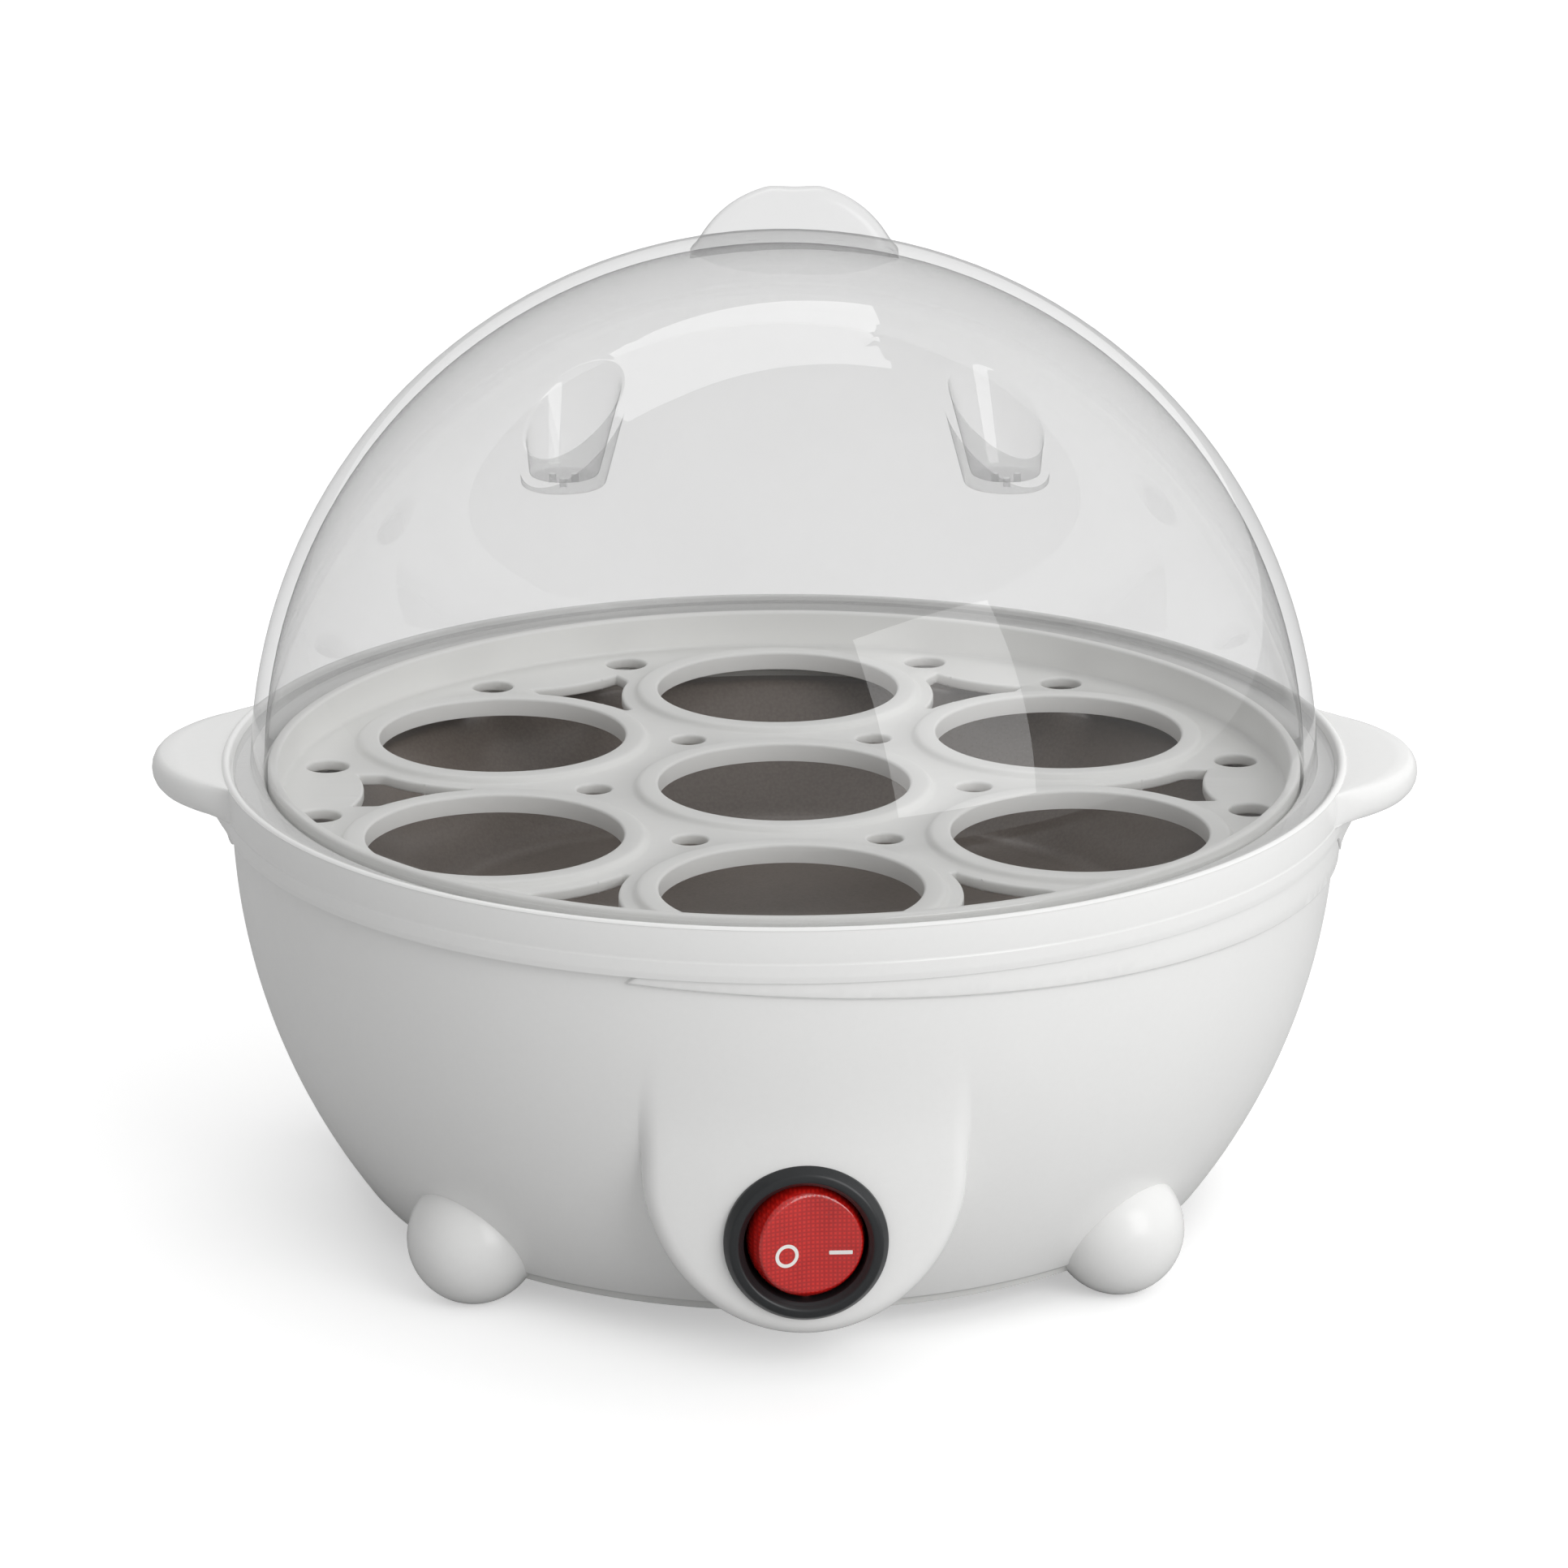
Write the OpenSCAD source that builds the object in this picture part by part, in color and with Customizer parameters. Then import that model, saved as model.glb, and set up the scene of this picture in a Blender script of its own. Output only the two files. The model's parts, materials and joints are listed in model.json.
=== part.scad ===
// Electric egg cooker: a clear domed lid over a seven-egg tray, a metal water
// pan with its heater, and a white bowl-shaped housing on four knob feet.
// The origin is on the floor under the bowl's axis. The switch faces -Y.

/* [Housing] */
// Outer radius of the bowl at its top edge
bowl_r = 81.9; // [81.6:0.1:82.1]
// Radius of the arc that the bowl's side follows
bowl_arc_r = 94.4; // [93:0.1:96]
// Height of the bowl's top edge over the floor
bowl_top_z = 60.3; // [60:0.1:60.6]
// Height of the bowl's bottom edge over the floor
bowl_bottom_z = 5.4; // [5.2:0.1:5.8]
// Wall of the mouldings
wall = 2.2; // [2:0.1:2.4]
// How far the band round the bowl's front and right stands proud
band_proud = 0.8; // [0.5:0.1:1]
// Radius of the ball that each foot is cut from
foot_r = 9.6; // [9:0.1:10]
// Distance of each foot from the bowl's axis, along X and along Y
foot_xy = 46.5; // [45:0.5:47]

/* [Upper ring] */
// Outer radius of the ring
ring_r = 83.3; // [83.2:0.1:83.6]
// Radius of the recess that the lid's flange lies in
recess_r = 82; // [81.9:0.1:82.1]
// Height of the ring's top edge
ring_top_z = 68.2; // [68:0.1:68.6]
// Distance from the bowl's axis to the tip of an ear
ear_tip_r = 94; // [92:0.5:95]
// Radius of an ear's round outline
ear_r = 23.5; // [23:0.5:26]
// Thickness of an ear
ear_t = 4.9; // [4.5:0.1:5.2]
// Turn of the ring on the bowl
ring_turn = -3; // [-5:0.5:5]

/* [Lid] */
// Outer radius of the dome
dome_r = 79; // [78.8:0.1:79.2]
// Wall of the dome
dome_t = 2; // [1.8:0.1:2.2]
// Half the width of the grip on top of the dome
grip_r = 15.5; // [14:0.5:16]
// Thickness of the grip where it meets the dome
grip_t = 7; // [6:0.5:8]
// Turn of the lid on the ring
lid_turn = -2; // [-10:1:10]

/* [Egg tray] */
// Radius of an egg's opening
egg_r = 18.75; // [18:0.05:19]
// Distance of the outer eggs from the middle one
egg_pitch = 49; // [48.6:0.1:49.4]
// Turn of the tray in the ring
tray_turn = -1; // [-10:0.5:10]

/* [Switch] */
// Radius of the switch's round bezel
bezel_r = 11.5; // [11:0.1:12]
// Height of the switch's middle over the floor
switch_z = 21.1; // [20.5:0.1:22]
// Angle that the rocker turns through between off and on
rocker_travel = 20; // [16:1:20]

/* [Hidden] */
$fn = 96;
e = 0.02;               // overlap between pieces of one solid

// Bowl: its side is an arc whose centre lies past the axis
arc_x = bowl_r - bowl_arc_r;
tongue_z = 63.5;        // top of the tongue that enters the ring
pan_ledge_z = 56.6;     // ledge that carries the pan's flange
band_slope = 0.045;     // fall of the band's lower edge towards +X
band_z = 57.6;

// Switch fairing
fairing_r = 80;         // its face is upright, round the bowl's axis
fairing_w = 23.4;       // half width, and radius of its round lower end
fairing_z = 30;
switch_seat_y = -79.2;
bezel_t = 2.4;
barrel_r = 10;
opening_r = 8.65;
ball_r = 8.3;
pivot_y = -77.4;
rocker_dish = 10;
rocker_face = 3.2;      // from the pivot to the middle of the rocker's face
rocker_back = 3.2;
rest_turn = rocker_travel / 2;

// Seats in the upper ring
lid_seat_z = 66;
tray_seat_z = 60;
tray_seat_r = 77;
seat_gap = 0.03;

// Lid
dome_z = 65.7;
flange_r = 81.6;
flange_t = 1.6;
grip_x = 1.5;
scoop_x = 31;
scoop_y = -38;
scoop_z = 119.8;
scoop_r = 4.8;
scoop_lean = 8;
scoop_flare = 10;

// Heating
pan_floor_z = 38.2;
spreader_z = 35.4;
tube_ring_r = 36;
tube_r = 3.3;
tube_z = 33.6;
tube_gap = 25;
leg_x = tube_ring_r * sin(tube_gap);
leg_y = tube_ring_r * cos(tube_gap);
bridge_z = 29;
fuse_y = 22;
fuse_z = 32.4;

// Cord inlet and terminal block
cord_az = 165;
cord_z = 11.5;
block_r = 44;
block_z = 5.4;
post_r = 57.5;
post_az = [-30, 90, 210];

// ---------- shared shapes ----------

module side_arc(r, z_lo, z_hi) {
    rotate_extrude()
        intersection() {
            translate([arc_x, bowl_top_z]) circle(r);
            translate([0, z_lo]) square([110, z_hi - z_lo]);
        }
}

module ring(r_out, r_in, z_lo, z_hi) {
    translate([0, 0, z_lo])
        linear_extrude(z_hi - z_lo)
            difference() {
                circle(r_out);
                circle(r_in);
            }
}

module at_az(az, r) {
    rotate([0, 0, az]) translate([r, 0, 0]) children();
}

module along_y(y_lo, y_hi) {
    translate([0, y_hi, 0]) rotate([90, 0, 0]) linear_extrude(y_hi - y_lo) children();
}

module along_cord(r_lo, r_hi) {
    rotate([0, 0, cord_az])
        translate([r_lo, 0, cord_z]) rotate([0, 90, 0]) linear_extrude(r_hi - r_lo) children();
}

// ---------- lid ----------

module scoop(grow, z_lo) {
    az = atan2(scoop_y, scoop_x);
    intersection() {
        translate([scoop_x, scoop_y, scoop_z])
            rotate([0, 0, az]) rotate([0, -scoop_lean, 0])
                translate([0, 0, -6])
                    cylinder(h = 34, r1 = scoop_r - 6 * tan(scoop_flare) + grow,
                             r2 = scoop_r + 28 * tan(scoop_flare) + grow);
        translate([-100, -100, z_lo]) cube([200, 200, 60]);
    }
}

module lid_dome() {
    color("lightgray", 0.5)
        rotate([0, 0, lid_turn]) difference() {
            union() {
                difference() {
                    translate([0, 0, dome_z]) sphere(dome_r);
                    translate([0, 0, dome_z]) sphere(dome_r - dome_t);
                    translate([-100, -100, -100]) cube([200, 200, 100 + lid_seat_z]);
                }
                ring(flange_r, dome_r - dome_t / 2, lid_seat_z, lid_seat_z + flange_t);
                for (side = [0, 1])
                    mirror([side, 0, 0])
                        intersection() {
                            scoop(1.3, scoop_z - 1.4);
                            translate([0, 0, dome_z]) sphere(dome_r - dome_t / 2);
                        }
            }
            for (side = [0, 1])
                mirror([side, 0, 0]) {
                    scoop(0, scoop_z);
                    for (k = [0:2])
                        translate([scoop_x, scoop_y, scoop_z - 5]) at_az(120 * k, 1.8)
                            cylinder(h = 8, r = 0.5);
                }
        }
}

module lid_grip() {
    middle_z = 137.7;
    top_half = 2.2;
    color("gainsboro", 0.6)
        rotate([0, 0, lid_turn]) difference() {
            intersection() {
                translate([grip_x, 0, middle_z])
                    along_y(-grip_t, grip_t)
                        difference() {
                            circle(grip_r);
                            translate([0, grip_r + 19.6]) circle(20);
                        }
                translate([-50, 0, 0]) rotate([90, 0, 90])
                    linear_extrude(100)
                        polygon([[-grip_t / 2, 140], [grip_t / 2, 140], [top_half, 154],
                                 [-top_half, 154]]);
            }
            translate([0, 0, dome_z]) sphere(dome_r);
        }
}

// ---------- egg tray ----------

module egg_places() {
    children();
    for (k = [0:5]) at_az(30 + 60 * k, egg_pitch) children();
}

module steam_slot() {
    bulge_r = 22.9;
    difference() {
        translate([45, -7.6]) square([19, 15.2]);
        translate([62.5 + bulge_r, 0]) circle(bulge_r);
        for (side = [-30, 30]) at_az(side, egg_pitch) circle(24.4);
    }
}

module egg_tray() {
    rim_r = 76.5;
    color("whitesmoke")
        rotate([0, 0, tray_turn])
            difference() {
                union() {
                    cylinder_at(rim_r, tray_seat_z, tray_seat_z + 1.8);
                    ring(rim_r, rim_r - 1.6, tray_seat_z, 67.4);
                    egg_places() cylinder_at(22.4, tray_seat_z, tray_seat_z + 2.8);
                }
                egg_places() cylinder_at(egg_r, tray_seat_z - 1, tray_seat_z + 5);
                for (k = [0:5])
                    rotate([0, 0, 60 * k])
                        translate([0, 0, tray_seat_z - 1])
                            linear_extrude(6) {
                                steam_slot();
                                translate([28.3, 0]) circle(2.6);
                                for (side = [-10, 10]) at_az(side, 69.5) circle(3.15);
                            }
            }
}

module cylinder_at(r, z_lo, z_hi) {
    translate([0, 0, z_lo]) cylinder(h = z_hi - z_lo, r = r);
}

// ---------- upper ring ----------

module ear(side) {
    top_z = ring_top_z - 0.4;
    root_r = bowl_r + band_proud + 0.15;
    rotate([0, 0, side]) {
        translate([0, 0, top_z - ear_t])
            linear_extrude(ear_t)
                difference() {
                    translate([ear_tip_r - ear_r, 0]) circle(ear_r);
                    circle(root_r);
                }
        rotate([0, 0, -11])
            rotate_extrude(angle = 22)
                polygon([[root_r, top_z - 1], [88, top_z - 1], [86.5, 61.4], [root_r, 54.6]]);
    }
}

module upper_ring() {
    edge_r = ring_r - recess_r;
    color("white")
        union() {
            rotate_extrude()
                difference() {
                    union() {
                        translate([81.2, bowl_top_z])
                            square([ring_r - 81.2, ring_top_z - edge_r - bowl_top_z]);
                        intersection() {
                            translate([ring_r - edge_r, ring_top_z - edge_r]) circle(edge_r);
                            translate([recess_r, ring_top_z - edge_r]) square(3);
                        }
                        translate([tray_seat_r, 63.8]) square([5, lid_seat_z - 63.8]);
                        translate([tray_seat_r, 57.6]) square([1.8, 7.2]);
                        translate([73, 58.2]) square([5, tray_seat_z - seat_gap - 58.2]);
                    }
                    translate([60, lid_seat_z]) square([recess_r - 60, 10]);
                }
            ear(ring_turn);
            ear(ring_turn + 180);
        }
}

// ---------- housing ----------

module fairing_outline(inset) {
    translate([0, fairing_z]) circle(fairing_w - inset);
    translate([-fairing_w + inset, fairing_z]) square([2 * (fairing_w - inset), 24]);
}

module cover_post(az) {
    intersection() {
        at_az(az, post_r)
            union() {
                cylinder_at(3.6, bowl_bottom_z, 22);
                translate([0, -1, bowl_bottom_z]) cube([20, 2, 16]);
            }
        side_arc(bowl_arc_r - 1, bowl_bottom_z, bowl_top_z);
    }
}

module raised_band() {
    difference() {
        side_arc(bowl_arc_r + band_proud, 50, bowl_top_z);
        rotate([0, atan(band_slope), 0]) translate([-150, -150, band_z - 60]) cube([300, 300, 60]);
        rotate([0, 0, 107]) cube([120, 120, 200]);
        rotate([0, 0, 162]) cube([120, 120, 200]);
    }
}

module bowl_housing() {
    color("ghostwhite")
        difference() {
            union() {
                difference() {
                    union() {
                        side_arc(bowl_arc_r, bowl_bottom_z, bowl_top_z);
                        raised_band();
                        intersection() {
                            along_y(-90, -40) fairing_outline(0);
                            cylinder_at(fairing_r, 0, 54);
                        }
                        intersection() {
                            along_cord(58, 70) circle(8);
                            cylinder_at(100, bowl_bottom_z, 40);
                        }
                    }
                    side_arc(bowl_arc_r - wall, bowl_bottom_z - 1, bowl_top_z + 1);
                    intersection() {
                        along_y(-90, -40) fairing_outline(wall);
                        cylinder_at(fairing_r - wall, 0, 50);
                    }
                }
                ring(81, 79.8, bowl_top_z - 2, tongue_z);
                ring(80.6, 73.6, pan_ledge_z - 1.8, pan_ledge_z);
                for (az = post_az) cover_post(az);
            }
            translate([0, 0, switch_z]) along_y(-95, -60) circle(barrel_r + 0.1);
            translate([0, 0, switch_z]) along_y(-95, switch_seat_y) circle(bezel_r + 0.4);
            along_cord(55, 90) circle(5);
            along_cord(70, 90) circle(8);
            for (az = post_az) at_az(az, post_r) cylinder_at(1.2, 0, 18);
        }
}

module base_cover() {
    color("gainsboro")
        difference() {
            union() {
                cylinder_at(63.2, bowl_bottom_z - 1.6, bowl_bottom_z);
                translate([0, 0, bowl_bottom_z - 1])
                    linear_extrude(3)
                        difference() {
                            circle(61.2);
                            circle(59.9);
                            for (az = post_az) at_az(az, post_r) circle(4.6);
                        }
            }
            for (az = post_az) at_az(az, post_r) cylinder_at(1.7, 0, 20);
            for (k = [0:11], r = [24, 31, 38])
                rotate([0, 0, 30 * k + 15])
                    translate([r, -0.9, 0]) cube([4.5, 1.8, 10]);
        }
}

module feet() {
    color("ghostwhite")
        for (sx = [-1, 1], sy = [-1, 1])
            difference() {
                translate([sx * foot_xy, sy * foot_xy, foot_r - 0.4]) sphere(foot_r);
                side_arc(bowl_arc_r, bowl_bottom_z, bowl_top_z);
                cylinder_at(63.2, bowl_bottom_z - 1.6, bowl_bottom_z + 1);
                translate([-100, -100, -20]) cube([200, 200, 20]);
            }
}

module base_screws() {
    color("silver")
        for (az = post_az)
            at_az(az, post_r)
                difference() {
                    union() {
                        cylinder_at(2.9, bowl_bottom_z - 3.4, bowl_bottom_z - 1.6);
                        cylinder_at(1.2, bowl_bottom_z - 2, bowl_bottom_z + 10);
                    }
                    translate([-1.8, -0.35, 0]) cube([3.6, 0.7, bowl_bottom_z - 2.6]);
                    translate([-0.35, -1.8, 0]) cube([0.7, 3.6, bowl_bottom_z - 2.6]);
                }
}

// ---------- heating ----------

module heating_pan() {
    color("rosybrown")
        rotate_extrude()
            polygon([[0, pan_floor_z], [55, pan_floor_z], [70.5, pan_ledge_z], [77.2, pan_ledge_z],
                     [77.2, pan_ledge_z + 0.8], [70, pan_ledge_z + 0.8], [54.6, pan_floor_z + 0.8],
                     [0, pan_floor_z + 0.8]]);
}

module pan_gasket() {
    color("tomato") ring(76.6, 73, pan_ledge_z + 0.8, 58.2);
}

module tube_ring(r, from) {
    rotate([0, 0, 90 + from])
        rotate_extrude(angle = 360 - 2 * from)
            translate([tube_ring_r, tube_z]) circle(r);
}

module heat_spreader() {
    color("silver")
        difference() {
            union() {
                cylinder_at(46, spreader_z, pan_floor_z);
                for (x = [-28, 28]) translate([x, 0, 0]) cylinder_at(2, 24.6, spreader_z + 1);
            }
            tube_ring(tube_r + 0.05, tube_gap - 0.5);
            for (y = [-12, 12, 28.3]) translate([0, y, 0]) cylinder_at(1.25, 30, pan_floor_z - 0.6);
        }
}

module heating_element() {
    color("slategray")
        union() {
            tube_ring(tube_r, tube_gap);
            for (side = [-1, 1])
                translate([side * leg_x, leg_y, 0]) cylinder_at(3.6, 24, spreader_z - 0.1);
        }
}

module element_beads() {
    color("ivory")
        for (side = [-1, 1])
            translate([side * leg_x, leg_y, 0]) ring(4.2, 1.2, 21, 24);
}

module element_pins() {
    color("gold")
        for (side = [-1, 1])
            translate([side * leg_x, leg_y, 0]) cylinder_at(1.2, 15, 24);
}

module clamp_bridge() {
    color("lightsteelblue")
        translate([0, 0, bridge_z])
            linear_extrude(1.2)
                difference() {
                    union() {
                        circle(15);
                        square([84, 12], center = true);
                    }
                    circle(9.2);
                    for (x = [-28, 28]) translate([x, 0]) circle(2.2);
                }
}

module bridge_nuts() {
    color("dimgray")
        for (x = [-28, 28])
            translate([x, 0, bridge_z - 3.1])
                difference() {
                    cylinder(h = 3.1, r = 4.04, $fn = 6);
                    translate([0, 0, -1]) cylinder(h = 6, r = 2);
                }
}

module thermostat() {
    color("black")
        difference() {
            union() {
                cylinder_at(8.3, 25.6, spreader_z);
                translate([-4, -15, 34.4]) cube([8, 30, spreader_z - 34.4]);
            }
            for (y = [-12, 12]) translate([0, y, 0]) cylinder_at(1.6, 30, 40);
        }
}

module thermostat_blades() {
    color("gold")
        for (x = [-5, 5])
            translate([x - 0.4, -3.15, 17]) cube([0.8, 6.3, 8.6]);
}

module pan_head_screw(top_z) {
    cylinder_at(2.6, top_z - 2.2, top_z);
    cylinder_at(1.25, top_z - e, top_z + 2.8);
}

module thermostat_screws() {
    color("silver")
        for (y = [-12, 12]) translate([0, y, 0]) pan_head_screw(34.4);
}

module along_x(x_lo, x_hi, y, z) {
    translate([x_lo, y, z]) rotate([0, 90, 0]) linear_extrude(x_hi - x_lo) children();
}

module thermal_fuse() {
    color("gold")
        union() {
            along_x(-6, 6, fuse_y, fuse_z) circle(2);
            along_x(-11, 11, fuse_y, fuse_z) circle(0.5);
        }
}

module fuse_sleeve() {
    color("white")
        along_x(-11, 11, fuse_y, fuse_z)
            difference() {
                circle(2.8);
                circle(2.05);
            }
}

module fuse_clip() {
    color("silver")
        difference() {
            union() {
                along_x(-3, 3, fuse_y, fuse_z) circle(3.6);
                translate([-3, 24.5, 34.6]) cube([6, 6.5, spreader_z - 34.6]);
            }
            along_x(-4, 4, fuse_y, fuse_z) circle(2.85);
            translate([-10, 10, spreader_z]) cube(30);
            translate([0, 28.3, 0]) cylinder_at(1.5, 30, 40);
        }
}

module fuse_screw() {
    color("silver") translate([0, 28.3, 0]) pan_head_screw(34.6);
}

// ---------- switch ----------

module at_switch(x_shift = 0) {
    translate([x_shift, 0, switch_z]) children();
}

module switch_housing() {
    color("black")
        at_switch()
            difference() {
                union() {
                    translate([0, switch_seat_y, 0]) rotate([90, 0, 0])
                        cylinder(h = bezel_t, r1 = bezel_r, r2 = bezel_r - 1.2);
                    along_y(switch_seat_y, -62) circle(barrel_r);
                }
                along_y(-90, -71) circle(opening_r);
                along_y(-72, -64.5) circle(6.5);
                translate([0, pivot_y, -9.4]) cylinder(h = 18.8, r = 0.95);
                for (x = [-5.5, 0, 5.5]) translate([x - 0.4, -66, -2.4]) cube([0.8, 8, 4.8]);
            }
}

module rocker_frame() {
    translate([0, pivot_y, switch_z]) rotate([0, 0, rest_turn]) children();
}

module symbol_shapes() {
    for (side = [-1, 1])
        rotate([0, 0, -side * rocker_dish])
            translate([side * 3.6, -rocker_face, 0])
                rotate([90, 0, 0])
                    translate([0, 0, -0.3])
                        linear_extrude(0.5)
                            if (side < 0)
                                difference() {
                                    circle(1.6);
                                    circle(1.1);
                                }
                            else
                                square([3.1, 0.55], center = true);
}

module switch_rocker() {
    color("crimson")
        rocker_frame()
            difference() {
                union() {
                    intersection() {
                        sphere(ball_r);
                        union()
                            for (side = [-1, 1])
                                rotate([0, 0, -side * rocker_dish])
                                    translate([side > 0 ? -1.5 : -20, -rocker_face, -20])
                                        cube([21.5, rocker_face + rocker_back, 40]);
                    }
                    translate([0, 0, -9.2]) cylinder(h = 18.4, r = 0.9);
                }
                symbol_shapes();
            }
}

module switch_symbols() {
    color("white")
        rocker_frame()
            intersection() {
                symbol_shapes();
                union()
                    for (side = [-1, 1])
                        rotate([0, 0, -side * rocker_dish])
                            translate([side > 0 ? 0.5 : -20.5, -rocker_face - 0.05, -20]) cube([20, 4, 40]);
            }
}

module switch_blades() {
    color("gold")
        at_switch()
            for (x = [-5.5, 0, 5.5]) translate([x - 0.4, -65.5, -2.4]) cube([0.8, 13.5, 4.8]);
}

module switch_lamp() {
    color("orange")
        at_switch()
            translate([0, -67.5, -4.5]) cylinder(h = 9, r = 2);
}

// ---------- wiring ----------

module cord_gland() {
    color("dimgray")
        difference() {
            union() {
                along_cord(54, 62.5) circle(4);
                along_cord(62, 70.2) circle(5);
                along_cord(70, 70.9) circle(6.6);
            }
            along_cord(50, 80) circle(3.4);
            along_cord(62.4, 80) circle(3.7);
        }
}

module in_block() {
    rotate([0, 0, cord_az]) translate([block_r, 0, block_z]) children();
}

module terminal_block() {
    color("ivory")
        in_block()
            difference() {
                translate([-8, -10, 0]) cube([16, 20, 12]);
                for (y = [-5, 5]) {
                    translate([-9, y, 6]) rotate([0, 90, 0]) cylinder(h = 18, r = 1.7);
                    for (x = [-4, 4]) translate([x, y, 6]) cylinder(h = 8, r = 2);
                }
            }
}

module terminal_screws() {
    color("gold")
        in_block()
            for (x = [-4, 4], y = [-5, 5])
                translate([x, y, 8])
                    difference() {
                        cylinder(h = 3, r = 1.9);
                        translate([-3, -0.3, 2]) cube([6, 0.6, 2]);
                    }
}

module crimp_connectors() {
    color("lightblue") {
        at_switch()
            for (x = [-5.5, 0, 5.5])
                difference() {
                    translate([x - 1.5, -61, -3.4]) cube([3, 11, 6.8]);
                    translate([x - 0.4, -62, -2.4]) cube([0.8, 10, 4.8]);
                }
        for (x = [-5, 5])
            difference() {
                translate([x - 1.5, -4.1, 14]) cube([3, 8.2, 10.4]);
                translate([x - 0.4, -3.15, 17]) cube([0.8, 6.3, 10]);
            }
        for (side = [-1, 1])
            translate([side * leg_x, leg_y, 0])
                difference() {
                    cylinder_at(2.1, 13, 20.4);
                    cylinder_at(1.2, 15, 22);
                }
    }
}

// A lead is a tube swept along a smooth curve through its route's points
lead_r = 1.3;
lead_sides = 8;
lead_steps = 5;

function spline(p, i, t) =
    let (a = p[max(i - 1, 0)], b = p[i], c = p[i + 1], d = p[min(i + 2, len(p) - 1)])
    0.5 * ((2 * b) + (c - a) * t + (2 * a - 5 * b + 4 * c - d) * t * t
           + (3 * b - a - 3 * c + d) * t * t * t);

function route(p) = concat(
    [for (i = [0:len(p) - 2], s = [0:lead_steps - 1]) spline(p, i, s / lead_steps)],
    [p[len(p) - 1]]);

function unit(v) = v / norm(v);

// Carries the side direction along the curve with no twist
function carried(side, along) = unit(side - (side * along) * along);

function sides(q, i, side) =
    i >= len(q) ? [] :
    let (along = unit(q[min(i + 1, len(q) - 1)] - q[max(i - 1, 0)]), s = carried(side, along))
    concat([[s, cross(along, s)]], sides(q, i + 1, s));

module lead(p) {
    q = route(p);
    frames = sides(q, 0, [0.3, 0.5, 0.8]);
    n = lead_sides;
    rings = len(q);
    points = [for (i = [0:rings - 1], k = [0:n - 1])
        q[i] + lead_r * (cos(360 * k / n) * frames[i][0] + sin(360 * k / n) * frames[i][1])];
    walls = [for (i = [0:rings - 2], k = [0:n - 1])
        [i * n + k, i * n + (k + 1) % n, (i + 1) * n + (k + 1) % n, (i + 1) * n + k]];
    ends = [[for (k = [n - 1:-1:0]) k], [for (k = [0:n - 1]) (rings - 1) * n + k]];
    polyhedron(points, [for (f = concat(walls, ends)) [for (k = [len(f) - 1:-1:0]) f[k]]]);
}

module lead_live() {
    color("saddlebrown")
        lead([[-36, 4.6, 11.4], [-28, 2, 11.2], [-20, -12, 11], [-11, -32, 15],
              [-5.5, -43, 20.6], [-5.5, -50, 21.1]]);
}

module lead_switched() {
    color("black")
        lead([[0, -50, 21.1], [0, -43, 20.9], [-1.5, -30, 14], [-4.2, -13, 8.6],
              [-5, -2.5, 8.8], [-5, 0, 14]]);
}

module lead_heater() {
    color("red")
        lead([[5, 0, 14], [5, 2, 9.2], [11, 8, 9.5], [19, 15, 18], [21, 20, 28],
              [17.5, 22, 32.2], [11, 22, 32.4]]);
}

module lead_fuse() {
    color("red")
        lead([[-11, 22, 32.4], [-16.5, 22, 31.5], [-22, 23, 24], [-22.5, 26, 14],
              [-18.5, 31, 8.6], [-15.2, 32.6, 13]]);
}

module lead_neutral() {
    color("royalblue")
        lead([[-33.4, 14.2, 11.4], [-26, 15, 9.6], [-12, 14, 8.4], [3, 20, 8.2],
              [12, 29, 8.6], [15.2, 32.6, 13]]);
}

module lead_lamp() {
    color("royalblue")
        lead([[5.5, -50, 21.1], [5.5, -43, 20.8], [14, -28, 14], [24, -8, 10], [28, 14, 10],
              [26, 28, 12], [21.5, 32.4, 16], [17.3, 32.6, 17]]);
}

lid_dome();
lid_grip();
egg_tray();
upper_ring();
bowl_housing();
base_cover();
feet();
base_screws();
heating_pan();
pan_gasket();
heat_spreader();
heating_element();
element_beads();
element_pins();
clamp_bridge();
bridge_nuts();
thermostat();
thermostat_blades();
thermostat_screws();
thermal_fuse();
fuse_sleeve();
fuse_clip();
fuse_screw();
switch_housing();
switch_rocker();
switch_symbols();
switch_blades();
switch_lamp();
cord_gland();
terminal_block();
terminal_screws();
crimp_connectors();
lead_live();
lead_switched();
lead_heater();
lead_fuse();
lead_neutral();
lead_lamp();
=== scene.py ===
"""Looks of a seven-egg electric cooker: a clear domed lid over a perforated tray,
a metal water pan in a white moulded bowl, four knob feet and a round lit rocker.

Lengths are in millimetres in the frame of the CAD model and become metres when a
mesh is made. Azimuth 0 is +X and the switch stands at azimuth -90 degrees.
"""

from __future__ import annotations

import json
import logging
import math
from dataclasses import dataclass, field
from enum import Enum
from typing import Callable, Iterable, Sequence

import bmesh
import bpy
from mathutils import Matrix, Vector
from mathutils.geometry import delaunay_2d_cdt


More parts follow.
